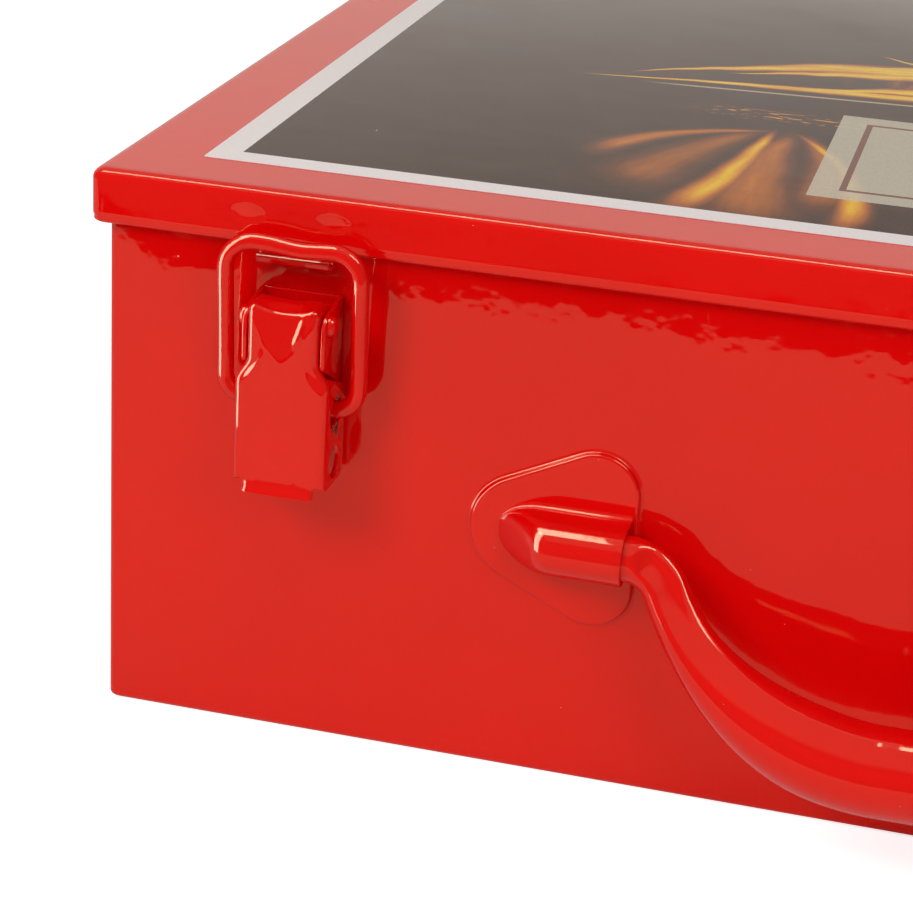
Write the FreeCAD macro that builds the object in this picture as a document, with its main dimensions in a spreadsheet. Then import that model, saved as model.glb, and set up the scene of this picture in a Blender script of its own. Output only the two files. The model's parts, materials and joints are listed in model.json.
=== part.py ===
"""Painted steel carrying case: a folded sheet body and lid, two butt hinges at the back, and on the
front two toggle latches with wire bails and a swinging tube handle in two pressed brackets.

Frame, in millimetres: the origin is the centre of the underside, +Z is up and the front faces -Y.
Latches and brackets are drawn against a wall at y = 0, with the outside towards -Y, then placed.
"""
import FreeCAD, Part
import math
import os

import Sketcher

Vector = FreeCAD.Vector
Rotation = FreeCAD.Rotation
X_AXIS = Vector(1, 0, 0)
SIDES = {"left": "-", "right": ""}

DIMENSIONS = {
    # Folded body.
    "case_width": 400.0,
    "case_depth": 300.0,
    "body_height": 118.6,
    "sheet_thick": 0.8,
    "body_bend": 1.5,
    "rim_fold_drop": 8.0,
    "rim_fold_thick": 1.7,
    # Folded lid, with a hem along the skirt's lower edge.
    "lid_top": 120.0,
    "skirt_drop": 11.4,
    "skirt_overhang": 3.0,
    "lid_bend": 2.0,
    "hem_height": 3.6,
    "hem_thick": 2.4,
    "hem_round": 1.1,
    "label_side_margin": 17.9,
    "label_front_margin": 17.1,
    "label_thick": 0.2,
    # Butt hinges.
    "hinge_offset": 120.0,
    "hinge_axis_height": 105.0,
    "leaf_width": 40.0,
    "leaf_thick": 1.2,
    "leaf_foot": 84.0,
    "leaf_head": 117.4,
    "knuckle_radius": 3.0,
    "knuckle_half": 7.0,
    "knuckle_gap": 0.25,
    "hinge_pin_radius": 1.5,
    "running_gap": 0.06,
    # Toggle latches.
    "latch_offset": 158.5,
    "base_width": 17.2,
    "latch_sheet": 1.0,
    "base_foot": 62.0,
    "base_head": 99.6,
    "ear_reach": 12.6,
    "ear_front_foot": 87.6,
    "ear_wall_foot": 81.0,
    "ear_round": 2.6,
    "pivot_reach": 9.4,
    "pivot_height": 96.0,
    "pivot_radius": 1.5,
    "pivot_head_radius": 2.2,
    "pivot_head_rise": 1.9,
    "lever_width": 19.6,
    "lever_reach": 13.8,
    "lever_foot": 62.6,
    "lever_head": 99.8,
    "lever_back": 1.2,
    "lever_corner": 2.2,
    "neck_width": 14.7,
    "neck_back": 4.4,
    "shoulder_low": 84.2,
    "shoulder_high": 88.4,
    "finger_lip_width": 14.6,
    "finger_lip_drop": 2.5,
    "finger_lip_flare": 1.3,
    "flange_hole_radius": 3.5,
    "flange_hole_reach": 7.0,
    "flange_hole_height": 66.6,
    "bail_radius": 1.75,
    "bail_half_width": 14.0,
    "bail_pin_reach": 6.2,
    "bail_pin_height": 77.5,
    "bail_pin_end": 6.6,
    "bail_top_reach": 7.6,
    "bail_top_height": 110.4,
    "bail_top_bend": 6.4,
    "bail_foot_bend": 4.5,
    "catch_width": 14.5,
    "catch_thick": 1.2,
    "catch_head": 117.2,
    "catch_bend_height": 104.9,
    "catch_lip_reach": 5.4,
    "catch_lip_rise": 3.0,
    "catch_notch": 16.0,
    # Handle and its brackets.
    "socket_reach": 7.0,
    "socket_height": 55.2,
    "bracket_mouth": 88.0,
    "bracket_edge": 87.0,
    "bracket_point": 136.1,
    "bracket_half_height": 24.0,
    "bracket_thick": 1.3,
    "bracket_point_round": 11.6,
    "bracket_corner_round": 8.7,
    "dome_radius": 5.8,
    "dome_wall": 0.9,
    "dome_nose": 108.0,
    "handle_tilt": 26.7,
    "handle_end_radius": 4.6,
    "handle_grip_radius": 9.0,
    "handle_wall": 1.3,
    "handle_insert": 12.0,
    "handle_turn": 62.0,
    "handle_shoulder_bend": 9.8,
    "handle_bow_bend": 52.6,
}

DOC = FreeCAD.newDocument("carrying_case")
PIECES = []


# ---------------------------------------------------------------- document helpers


def fill_sheet():
    """Puts every driving dimension in a spreadsheet, one aliased cell each."""
    sheet = DOC.addObject("Spreadsheet::Sheet", "Dims")
    for row, (alias, value) in enumerate(DIMENSIONS.items(), start=1):
        sheet.set(f"A{row}", alias)
        sheet.set(f"B{row}", str(value))
        sheet.setAlias(f"B{row}", alias)
    DOC.recompute()
    return sheet


SHEET = fill_sheet()


def value(expression):
    """The number that an expression of sheet cells comes to."""
    found = SHEET.evalExpression(expression)
    return float(getattr(found, "Value", found))


def keep(piece, label):
    """Names a finished sub-part, which is then exported under that name."""
    piece.Label = label
    PIECES.append(piece)
    return piece


def bind(target, expressions):
    """Drives properties of a document object from the sheet."""
    for name, expression in expressions.items():
        target.setExpression(name, expression)
    return target


def place(target, x="0", y="0", z="0"):
    return bind(target, {"Placement.Base.x": x, "Placement.Base.y": y, "Placement.Base.z": z})


def block(name, size, corner):
    """A box with its size and its lowest corner given as expressions."""
    solid = DOC.addObject("Part::Box", name)
    bind(solid, dict(zip(("Length", "Width", "Height"), size)))
    return place(solid, *corner)


def rod(name, radius, length, x, y, z):
    """A cylinder along +X that starts at x."""
    solid = DOC.addObject("Part::Cylinder", name)
    solid.Placement.Rotation = Rotation(Vector(0, 1, 0), 90)
    bind(solid, {"Radius": radius, "Height": length})
    return place(solid, x, y, z)


def fuse(name, *solids):
    union = DOC.addObject("Part::MultiFuse", name)
    union.Shapes = list(solids)
    return union


def cut(name, base, tool):
    """Takes tool away from base, and stops the build if nothing came off."""
    result = DOC.addObject("Part::Cut", name)
    result.Base = base
    result.Tool = tool
    DOC.recompute()
    if result.Shape.Volume >= base.Shape.Volume:
        raise RuntimeError(f"{name} removed nothing")
    return result


def edge_names(shape, wanted):
    """Names of the straight edges whose two ends both pass the test."""
    names = []
    for number, edge in enumerate(shape.Edges, start=1):
        ends = [vertex.Point for vertex in edge.Vertexes]
        if len(ends) == 2 and wanted(*ends):
            names.append(f"Edge{number}")
    if not names:
        raise RuntimeError("no edge passes the test")
    return names


def rounded(name, base, wanted, radius):
    """Rounds the edges of a Part solid that pass the test."""
    DOC.recompute()
    fillet = DOC.addObject("Part::Fillet", name)
    fillet.Base = base
    fillet.Edges = [(int(edge[4:]), radius, radius) for edge in edge_names(base.Shape, wanted)]
    DOC.recompute()
    return fillet


def upright(a, b):
    return abs(a.x - b.x) < 1e-6 and abs(a.y - b.y) < 1e-6


def crosswise(a, b):
    return abs(a.y - b.y) < 1e-6 and abs(a.z - b.z) < 1e-6


def level_at(height):
    return lambda a, b: abs(a.z - height) < 1e-6 and abs(b.z - height) < 1e-6


# ---------------------------------------------------------------- part design helpers


def new_body(name, x="0", y="0"):
    return place(DOC.addObject("PartDesign::Body", name), x, y)


def outline(body, name, plane, corners):
    """A closed sketch outline on one of the body's planes. Each corner is a pair of expressions."""
    sketch = body.newObject("Sketcher::SketchObject", name)
    support = next(f for f in body.Origin.OriginFeatures if f.Role == plane)
    sketch.AttachmentSupport = (support, [""])
    sketch.MapMode = "FlatFace"
    points = [Vector(value(across), value(up), 0) for across, up in corners]
    count = len(points)
    for i, point in enumerate(points):
        sketch.addGeometry(Part.LineSegment(point, points[(i + 1) % count]), False)
    for i in range(count):
        sketch.addConstraint(Sketcher.Constraint("Coincident", i, 2, (i + 1) % count, 1))
    for i, (corner, point) in enumerate(zip(corners, points)):
        for kind, expression, number in zip(("DistanceX", "DistanceY"), corner, point):
            index = sketch.addConstraint(Sketcher.Constraint(kind, -1, 1, i, 1, number))
            sketch.setExpression(f"Constraints[{index}]", expression)
    DOC.recompute()
    return sketch


def disc(body, name, plane, across, up, radius):
    """A sketched circle on one of the body's planes, for a hole."""
    sketch = body.newObject("Sketcher::SketchObject", name)
    support = next(f for f in body.Origin.OriginFeatures if f.Role == plane)
    sketch.AttachmentSupport = (support, [""])
    sketch.MapMode = "FlatFace"
    centre = Vector(value(across), value(up), 0)
    sketch.addGeometry(Part.Circle(centre, Vector(0, 0, 1), value(radius)), False)
    limits = (
        ("DistanceX", (-1, 1, 0, 3, centre.x), across),
        ("DistanceY", (-1, 1, 0, 3, centre.y), up),
        ("Radius", (0, value(radius)), radius),
    )
    for kind, arguments, expression in limits:
        index = sketch.addConstraint(Sketcher.Constraint(kind, *arguments))
        sketch.setExpression(f"Constraints[{index}]", expression)
    DOC.recompute()
    return sketch


def pad(body, sketch, length, midplane=True, reversed_=False):
    feature = body.newObject("PartDesign::Pad", f"{sketch.Name}_pad")
    feature.Profile = sketch
    feature.Midplane = midplane
    feature.Reversed = reversed_
    feature.setExpression("Length", length)
    DOC.recompute()
    return feature


def pocket(body, sketch, length, midplane=True, reversed_=False):
    """Cuts the sketch out of the body, and stops the build if nothing came off."""
    before = body.Shape.Volume
    feature = body.newObject("PartDesign::Pocket", f"{sketch.Name}_cut")
    feature.Profile = sketch
    feature.Midplane = midplane
    feature.Reversed = reversed_
    feature.setExpression("Length", length)
    DOC.recompute()
    if body.Shape.Volume >= before:
        raise RuntimeError(f"{feature.Name} removed nothing")
    return feature


def round_edges(body, name, wanted, radius):
    """Rounds those edges of the body, in its own frame, that pass the test."""
    tip = body.Tip
    fillet = body.newObject("PartDesign::Fillet", name)
    fillet.Base = (tip, edge_names(tip.Shape, wanted))
    fillet.setExpression("Radius", radius)
    DOC.recompute()
    return fillet


# ---------------------------------------------------------------- body and lid


def centred_block(name, inset, low, height):
    """A block centred on the case's axis, inset from the body's outer walls."""
    width, depth = (f"Dims.case_{side} - 2 * ({inset})" for side in ("width", "depth"))
    return block(name, (width, depth, height), (f"-({width}) / 2", f"-({depth}) / 2", low))


def make_body_shell():
    """Open tray with rounded folds and an inward fold that stiffens the rim."""
    bend = value("Dims.body_bend")
    outer = centred_block("body_blank", "0", "0", "Dims.body_height")
    outer = rounded("body_corners", outer, upright, bend)
    outer = rounded("body_bottom_fold", outer, level_at(0.0), bend - 0.01)
    floor_to_fold = "Dims.body_height - Dims.rim_fold_drop - Dims.sheet_thick"
    room = centred_block("body_room", "Dims.sheet_thick", "Dims.sheet_thick", floor_to_fold)
    mouth = centred_block("body_mouth", "Dims.rim_fold_thick", "Dims.sheet_thick", "Dims.body_height")
    inner_bend = bend - value("Dims.sheet_thick")
    room = rounded("body_room_corners", room, upright, inner_bend)
    mouth = rounded("body_mouth_corners", mouth, upright, inner_bend)
    keep(cut("body_shell", outer, fuse("body_inside", room, mouth)), "body_shell")


def make_lid_shell():
    """Shallow tray with a hemmed skirt that drops over the body's rim."""
    low = "Dims.lid_top - Dims.skirt_drop"
    bend = value("Dims.lid_bend")
    outer = centred_block("lid_blank", "-Dims.skirt_overhang", low, "Dims.skirt_drop")
    outer = rounded("lid_corners", outer, upright, bend)
    outer = rounded("lid_top_fold", outer, level_at(value("Dims.lid_top")), bend - 0.01)
    outer = rounded("lid_hem_roll", outer, level_at(value(low)), value("Dims.hem_round"))
    skin = "Dims.sheet_thick - Dims.skirt_overhang"
    hem = "Dims.hem_thick - Dims.skirt_overhang"
    room_low = f"{low} + Dims.hem_height"
    room_height = "Dims.skirt_drop - Dims.hem_height - Dims.sheet_thick"
    room = centred_block("lid_room", skin, room_low, room_height)
    room = rounded("lid_room_corners", room, upright, bend - value("Dims.sheet_thick"))
    mouth = centred_block("lid_mouth", hem, low, "Dims.skirt_drop / 2")
    notches = []
    for side, sign in SIDES.items():
        size = ("Dims.catch_notch", "Dims.hem_thick", "Dims.skirt_drop / 2")
        corner = (
            f"{sign}Dims.latch_offset - Dims.catch_notch / 2",
            "-Dims.case_depth / 2 - Dims.skirt_overhang + Dims.sheet_thick",
            low,
        )
        notches.append(block(f"catch_notch_{side}", size, corner))
    keep(cut("lid_shell", outer, fuse("lid_inside", room, mouth, *notches)), "lid_shell")


def make_lid_label():
    """Printed film on the lid's top face."""
    width = "(Dims.case_width + 2 * Dims.skirt_overhang - 2 * Dims.label_side_margin)"
    depth = "(Dims.case_depth + 2 * Dims.skirt_overhang - 2 * Dims.label_front_margin)"
    corner = (f"-{width} / 2", f"-{depth} / 2", "Dims.lid_top")
    keep(block("lid_label", (width, depth, "Dims.label_thick"), corner), "lid_label")


# ---------------------------------------------------------------- hinges

WALL_BACK = "Dims.case_depth / 2"
SKIRT_BACK = "(Dims.case_depth / 2 + Dims.skirt_overhang)"
HINGE_Y = f"({SKIRT_BACK} + Dims.knuckle_radius)"
HINGE_Z = "Dims.hinge_axis_height"


def make_hinge(side, sign):
    """Butt hinge: a cranked leaf on the body, a flat leaf on the lid skirt, and their pin."""
    centre = f"{sign}Dims.hinge_offset"
    left = f"{centre} - Dims.leaf_width / 2"
    gap_half = "(Dims.knuckle_half + Dims.knuckle_gap)"
    web_low = f"({HINGE_Z} - Dims.knuckle_radius)"

    def barrel(name, radius, length, start):
        return rod(f"{name}_{side}", radius, length, start, HINGE_Y, HINGE_Z)

    plate = block(
        f"wall_plate_{side}",
        ("Dims.leaf_width", "Dims.leaf_thick", f"{web_low} - Dims.leaf_foot + Dims.leaf_thick"),
        (left, WALL_BACK, "Dims.leaf_foot"),
    )
    web = block(
        f"leaf_web_{side}",
        ("Dims.leaf_width", f"{HINGE_Y} - {WALL_BACK}", "Dims.leaf_thick"),
        (left, WALL_BACK, web_low),
    )
    knuckles = barrel("outer_knuckles", "Dims.knuckle_radius", "Dims.leaf_width", left)
    gap = block(
        f"knuckle_gap_{side}",
        (f"2 * {gap_half}", "20", "20"),
        (f"{centre} - {gap_half}", f"{WALL_BACK} + Dims.leaf_thick", f"{web_low} - Dims.knuckle_gap"),
    )
    bore = barrel("fixed_bore", "Dims.hinge_pin_radius", "Dims.leaf_width", left)
    leaf = fuse(f"body_leaf_blank_{side}", plate, web, knuckles)
    keep(
        cut(f"body_leaf_{side}", leaf, fuse(f"body_leaf_cuts_{side}", gap, bore)),
        f"hinge_leaf_body_{side}",
    )

    flap_low = f"({HINGE_Z} + Dims.knuckle_radius + 1)"
    flap = block(
        f"skirt_plate_{side}",
        ("Dims.leaf_width", "Dims.leaf_thick", f"Dims.leaf_head - {flap_low}"),
        (left, SKIRT_BACK, flap_low),
    )
    tab = block(
        f"leaf_tab_{side}",
        ("2 * Dims.knuckle_half", "Dims.leaf_thick", f"{flap_low} - {HINGE_Z} + 0.5"),
        (f"{centre} - Dims.knuckle_half", SKIRT_BACK, HINGE_Z),
    )
    middle = f"{centre} - Dims.knuckle_half"
    knuckle = barrel("middle_knuckle", "Dims.knuckle_radius", "2 * Dims.knuckle_half", middle)
    bore = barrel(
        "running_bore",
        "Dims.hinge_pin_radius + Dims.running_gap",
        "2 * Dims.knuckle_half",
        middle,
    )
    leaf = fuse(f"lid_leaf_blank_{side}", flap, tab, knuckle)
    keep(cut(f"lid_leaf_{side}", leaf, bore), f"hinge_leaf_lid_{side}")
    pin = barrel("hinge_pin", "Dims.hinge_pin_radius", "Dims.leaf_width", left)
    keep(pin, f"hinge_pin_{side}")


# ---------------------------------------------------------------- toggle latches


def make_latch_base(side, sign):
    """Channel welded to the wall: a back plate with two ears that carry the pivot pin."""
    body = new_body(f"base_{side}", f"{sign}Dims.latch_offset", "-Dims.case_depth / 2")
    side_view = [
        ("0", "Dims.base_foot"),
        ("0", "Dims.base_head"),
        ("-Dims.ear_reach", "Dims.base_head"),
        ("-Dims.ear_reach", "Dims.ear_front_foot"),
        ("-Dims.latch_sheet", "Dims.ear_wall_foot"),
        ("-Dims.latch_sheet", "Dims.base_foot"),
    ]
    pad(body, outline(body, f"base_side_{side}", "YZ_Plane", side_view), "Dims.base_width")
    reach = -value("Dims.ear_reach")

    def ear_corner(a, b):
        return crosswise(a, b) and abs(a.y - reach) < 1e-6

    round_edges(body, f"ear_corners_{side}", ear_corner, "Dims.ear_round")
    between = [
        ("-Dims.latch_sheet", "Dims.base_foot - 1"),
        ("-Dims.latch_sheet", "Dims.base_head + 1"),
        ("-Dims.ear_reach - 1", "Dims.base_head + 1"),
        ("-Dims.ear_reach - 1", "Dims.base_foot - 1"),
    ]
    inner_width = "Dims.base_width - 2 * Dims.latch_sheet"
    pocket(body, outline(body, f"ear_space_{side}", "YZ_Plane", between), inner_width)
    hole = disc(
        body,
        f"ear_hole_{side}",
        "YZ_Plane",
        "-Dims.pivot_reach",
        "Dims.pivot_height",
        "Dims.pivot_radius",
    )
    pocket(body, hole, "Dims.base_width + 2")
    keep(body, f"latch_base_{side}")


def make_latch_lever(side, sign):
    """Pressed lever: a channel with a narrow neck between the ears and a flared finger lip."""
    body = new_body(f"lever_{side}", f"{sign}Dims.latch_offset", "-Dims.case_depth / 2")
    side_view = [
        ("-Dims.lever_reach", "Dims.lever_foot"),
        ("-Dims.lever_reach", "Dims.lever_head"),
        ("-Dims.neck_back", "Dims.lever_head"),
        ("-Dims.neck_back", "Dims.shoulder_high + 1.5"),
        ("-Dims.lever_back", "Dims.shoulder_low - 1"),
        ("-Dims.lever_back", "Dims.lever_foot + 2.5"),
        ("-Dims.lever_back - 3", "Dims.lever_foot - 0.8"),
        ("-Dims.lever_reach + 1.5", "Dims.lever_foot - 0.8"),
    ]
    pad(body, outline(body, f"lever_side_{side}", "YZ_Plane", side_view), "Dims.lever_width")
    # Both sides of the neck come off above a sloping shoulder.
    for hand in ("-", ""):
        shoulder = [
            (f"{hand}Dims.neck_width / 2", "Dims.lever_head + 1"),
            (f"{hand}Dims.neck_width / 2", "Dims.shoulder_high"),
            (f"{hand}(Dims.lever_width / 2 + 0.5)", "Dims.shoulder_low - 0.4"),
            (f"{hand}(Dims.lever_width / 2 + 0.5)", "Dims.lever_head + 1"),
        ]
        tag = "a" if hand else "b"
        sketch = outline(body, f"neck_side_{tag}_{side}", "XZ_Plane", shoulder)
        pocket(body, sketch, "Dims.lever_reach + 1", midplane=False, reversed_=True)
    front = -value("Dims.lever_reach")
    half_widths = (value("Dims.lever_width / 2"), value("Dims.neck_width / 2"))

    def front_corner(a, b):
        on_front = abs(a.y - front) < 1e-6 and abs(b.y - front) < 1e-6
        return on_front and upright(a, b) and any(abs(abs(a.x) - w) < 1e-6 for w in half_widths)

    round_edges(body, f"lever_corners_{side}", front_corner, "Dims.lever_corner")

    # The channel is hollow from behind, closed over the top and open at the foot. Only its front
    # sheet runs through the shoulder, so that the neck can turn between the ears.
    def inside(width, low, high):
        half = f"({width} / 2 - Dims.latch_sheet)"
        return [(f"-{half}", low), (f"-{half}", high), (half, high), (half, low)]

    depth = "Dims.lever_reach - Dims.latch_sheet"
    wide = inside("Dims.lever_width", "Dims.lever_foot - 3", "Dims.shoulder_high")
    narrow = inside("Dims.neck_width", "Dims.lever_foot", "Dims.lever_head - Dims.latch_sheet")
    for tag, corners in (("wide", wide), ("narrow", narrow)):
        sketch = outline(body, f"lever_{tag}_{side}", "XZ_Plane", corners)
        pocket(body, sketch, depth, midplane=False, reversed_=True)
    holes = {
        "pivot": ("pivot_reach", "pivot_height", "Dims.pivot_radius + Dims.running_gap"),
        "bail": ("bail_pin_reach", "bail_pin_height", "Dims.bail_radius + Dims.running_gap"),
        "flange": ("flange_hole_reach", "flange_hole_height", "Dims.flange_hole_radius"),
    }
    for tag, (reach, height, radius) in holes.items():
        name = f"{tag}_hole_{side}"
        hole = disc(body, name, "YZ_Plane", f"-Dims.{reach}", f"Dims.{height}", radius)
        pocket(body, hole, "Dims.lever_width + 2")
    lip = [
        ("-Dims.lever_reach", "Dims.lever_foot + 0.3"),
        ("-Dims.lever_reach - Dims.finger_lip_flare", "Dims.lever_foot - Dims.finger_lip_drop"),
        (
            "-Dims.lever_reach - Dims.finger_lip_flare + 0.95",
            "Dims.lever_foot - Dims.finger_lip_drop - 0.3",
        ),
        ("-Dims.lever_reach + Dims.latch_sheet", "Dims.lever_foot - 0.2"),
        ("-Dims.lever_reach + Dims.latch_sheet", "Dims.lever_foot + 0.3"),
    ]
    sketch = outline(body, f"finger_lip_{side}", "YZ_Plane", lip)
    pad(body, sketch, "Dims.finger_lip_width")
    keep(body, f"latch_lever_{side}")


def make_latch_pin(side, sign):
    """Through pin with a domed head outside each ear."""
    half = "Dims.base_width / 2"
    x = f"{sign}Dims.latch_offset"
    y = "-Dims.case_depth / 2 - Dims.pivot_reach"
    shank = rod(
        f"pin_shank_{side}",
        "Dims.pivot_radius",
        "Dims.base_width",
        f"{x} - {half}",
        y,
        "Dims.pivot_height",
    )
    rise = value("Dims.pivot_head_rise")
    heads = []
    for tag, edge in (("a", f"{x} - {half} - Dims.pivot_head_rise"), ("b", f"{x} + {half}")):
        head = rod(
            f"pin_head_{tag}_{side}",
            "Dims.pivot_head_radius",
            "Dims.pivot_head_rise",
            edge,
            y,
            "Dims.pivot_height",
        )
        DOC.recompute()
        outer = head.Shape.BoundBox.XMin if tag == "a" else head.Shape.BoundBox.XMax
        domed = DOC.addObject("Part::Fillet", f"pin_dome_{tag}_{side}")
        domed.Base = head
        rims = [
            number
            for number, edge_ in enumerate(head.Shape.Edges, start=1)
            if edge_.BoundBox.XLength < 1e-6 and abs(edge_.BoundBox.XMin - outer) < 1e-6
        ]
        domed.Edges = [(number, 0.8 * rise, 0.8 * rise) for number in rims]
        heads.append(domed)
    keep(fuse(f"pin_{side}", shank, *heads), f"latch_pin_{side}")


def bent_path(corners, bends):
    """A wire through the corners, with an arc of the given radius at each inner corner."""
    edges = []
    here = corners[0]
    for before, corner, after, radius in zip(corners, corners[1:], corners[2:], bends):
        back = (before - corner).normalize()
        ahead = (after - corner).normalize()
        half_angle = back.getAngle(ahead) / 2
        trim = radius / math.tan(half_angle)
        middle = (back + ahead).normalize()
        start = corner + back * trim
        end = corner + ahead * trim
        crown = corner + middle * (radius / math.sin(half_angle) - radius)
        edges.append(Part.makeLine(here, start))
        edges.append(Part.Arc(start, crown, end).toShape())
        here = end
    edges.append(Part.makeLine(here, corners[-1]))
    return Part.Wire(edges)


def make_latch_bail(side, sign):
    """Round wire loop: its feet turn inwards through the lever, its top lies before the catch."""
    half = value("Dims.bail_half_width")
    pin_end = value("Dims.bail_pin_end")
    foot = value("Dims.bail_pin_height")
    top = value("Dims.bail_top_height")
    foot_y = -value("Dims.bail_pin_reach")
    top_y = -value("Dims.bail_top_reach")
    corners = [
        Vector(-pin_end, foot_y, foot),
        Vector(-half, foot_y, foot),
        Vector(-half, top_y, top),
        Vector(half, top_y, top),
        Vector(half, foot_y, foot),
        Vector(pin_end, foot_y, foot),
    ]
    foot_bend = value("Dims.bail_foot_bend")
    top_bend = value("Dims.bail_top_bend")
    path = bent_path(corners, (foot_bend, top_bend, top_bend, foot_bend))
    section = Part.Wire([Part.makeCircle(value("Dims.bail_radius"), corners[0], X_AXIS)])
    wire = DOC.addObject("Part::Feature", f"bail_{side}")
    wire.Shape = path.makePipeShell([section], True, False)
    place(wire, f"{sign}Dims.latch_offset", "-Dims.case_depth / 2")
    keep(wire, f"latch_bail_{side}")


def make_latch_catch(side, sign):
    """Strip welded inside the lid skirt, turned outwards below it into a rising lip."""
    body = new_body(f"catch_{side}", f"{sign}Dims.latch_offset", "-Dims.case_depth / 2")
    outer = "Dims.skirt_overhang - Dims.sheet_thick"
    inner = f"{outer} - Dims.catch_thick"
    tip = "Dims.catch_bend_height + Dims.catch_lip_rise"
    side_view = [
        (f"-({inner})", "Dims.catch_head"),
        (f"-({outer})", "Dims.catch_head"),
        (f"-({outer})", "Dims.catch_bend_height + Dims.catch_thick + 0.2"),
        ("-Dims.catch_lip_reach", f"{tip} + Dims.catch_thick"),
        ("-Dims.catch_lip_reach", tip),
        (f"-({inner} + 0.6)", "Dims.catch_bend_height - 0.1"),
        (f"-({inner})", "Dims.catch_bend_height + 0.4"),
    ]
    pad(body, outline(body, f"catch_side_{side}", "YZ_Plane", side_view), "Dims.catch_width")
    keep(body, f"latch_catch_{side}")


# ---------------------------------------------------------------- handle


def make_bracket(side, sign):
    """Three-cornered plate with a pressed half-round socket that opens towards the middle."""
    flip = -1 if sign else 1
    body = new_body(f"bracket_plate_{side}", "0", "-Dims.case_depth / 2")
    edge = f"{sign}Dims.bracket_edge"
    corners = [
        (f"{sign}Dims.bracket_point", "Dims.socket_height"),
        (edge, "Dims.socket_height + Dims.bracket_half_height"),
        (edge, "Dims.socket_height - Dims.bracket_half_height"),
    ]
    sketch = outline(body, f"bracket_outline_{side}", "XZ_Plane", corners)
    pad(body, sketch, "Dims.bracket_thick", midplane=False)
    point = value("Dims.bracket_point")

    def across_plate(a, b):
        return abs(a.x - b.x) < 1e-6 and abs(a.z - b.z) < 1e-6

    def at_point(a, b):
        return across_plate(a, b) and abs(abs(a.x) - point) < 1e-6

    def at_corner(a, b):
        return across_plate(a, b) and abs(abs(a.x) - value("Dims.bracket_edge")) < 1e-6

    round_edges(body, f"bracket_point_{side}", at_point, "Dims.bracket_point_round")
    round_edges(body, f"bracket_corners_{side}", at_corner, "Dims.bracket_corner_round")

    def socket(tag, radius, mouth):
        """Round-nosed tube on legs that reach down to the wall."""
        wall = "-Dims.case_depth / 2"
        axis_y = f"{wall} - Dims.socket_reach"
        length = f"(Dims.dome_nose - {mouth})"
        start = f"-{mouth} - {length}" if flip < 0 else mouth
        tube = rod(f"{tag}_tube_{side}", radius, length, start, axis_y, "Dims.socket_height")
        legs = block(
            f"{tag}_legs_{side}",
            (length, "Dims.socket_reach", f"2 * ({radius})"),
            (start, axis_y, f"Dims.socket_height - ({radius})"),
        )
        nose = DOC.addObject("Part::Sphere", f"{tag}_nose_{side}")
        bind(nose, {"Radius": radius})
        place(nose, f"{sign}Dims.dome_nose", axis_y, "Dims.socket_height")
        column = DOC.addObject("Part::Cylinder", f"{tag}_column_{side}")
        column.Placement.Rotation = Rotation(X_AXIS, -90)
        bind(column, {"Radius": radius, "Height": "Dims.socket_reach"})
        place(column, f"{sign}Dims.dome_nose", axis_y, "Dims.socket_height")
        return fuse(f"{tag}_{side}", tube, legs, nose, column)

    dome = socket("dome", "Dims.dome_radius", "Dims.bracket_mouth")
    hollow_radius = "Dims.dome_radius - Dims.dome_wall"
    hollow = socket("hollow", hollow_radius, "(Dims.bracket_mouth - 3)")
    blank = fuse(f"bracket_blank_{side}", body, dome)
    keep(cut(f"bracket_{side}", blank, hollow), f"handle_bracket_{side}")


def handle_stations():
    """Stations from the left end to the right: place along x, drop, slope and outer radius."""
    bend, bow = value("Dims.handle_shoulder_bend"), value("Dims.handle_bow_bend")
    turn = math.radians(value("Dims.handle_turn"))
    thin, thick = value("Dims.handle_end_radius"), value("Dims.handle_grip_radius")
    mouth = value("Dims.bracket_mouth")
    grip_half = mouth - (bend + bow) * math.sin(turn) - 0.5
    drop = (bend + bow) * (1 - math.cos(turn))
    left = [(-mouth - value("Dims.handle_insert"), 0.0, 0.0, thin)]
    left.append((-mouth - value("Dims.handle_insert") / 2, 0.0, 0.0, thin))
    steps = 8
    for i in range(steps):
        angle = turn * i / steps
        x = -mouth + 0.5 + bend * math.sin(angle)
        left.append((x, bend * (1 - math.cos(angle)), angle, thin + 0.2 * i / steps))
    steps = 14
    for i in range(steps + 1):
        angle = turn * (1 - i / steps)
        share = min(1.0, i / (0.8 * steps))
        swell = share * share * (3 - 2 * share)
        radius = thin + 0.2 + (thick - thin - 0.2) * swell
        x = -grip_half - bow * math.sin(angle)
        left.append((x, drop - bow * (1 - math.cos(angle)), angle, radius))
    left.append((-grip_half / 2, drop, 0.0, thick))
    right = [(-x, down, -angle, radius) for x, down, angle, radius in reversed(left)]
    return left + [(0.0, drop, 0.0, thick)] + right


def make_handle():
    """Bowed tube, thin at the sockets and thick at the grip, hanging part way out."""
    pivot = Vector(0, -value("Dims.case_depth / 2 + Dims.socket_reach"), value("Dims.socket_height"))
    at_rest = FreeCAD.Placement(pivot, Rotation(X_AXIS, -value("Dims.handle_tilt")))
    tubes = []
    for tag, thinner in (("outside", 0.0), ("bore", value("Dims.handle_wall"))):
        rings = []
        for number, (x, drop, angle, radius) in enumerate(handle_stations()):
            ring = DOC.addObject("Part::Circle", f"handle_{tag}_ring_{number}")
            ring.Radius = radius - thinner
            facing = Rotation(Vector(0, 0, 1), Vector(math.cos(angle), 0, -math.sin(angle)))
            ring.Placement = at_rest.multiply(FreeCAD.Placement(Vector(x, 0, -drop), facing))
            rings.append(ring)
        tube = DOC.addObject("Part::Loft", f"handle_{tag}")
        tube.Sections = rings
        tube.Solid = True
        tube.Ruled = True
        tubes.append(tube)
    keep(cut("handle", *tubes), "handle_bar")


# ---------------------------------------------------------------- build and write


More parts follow.
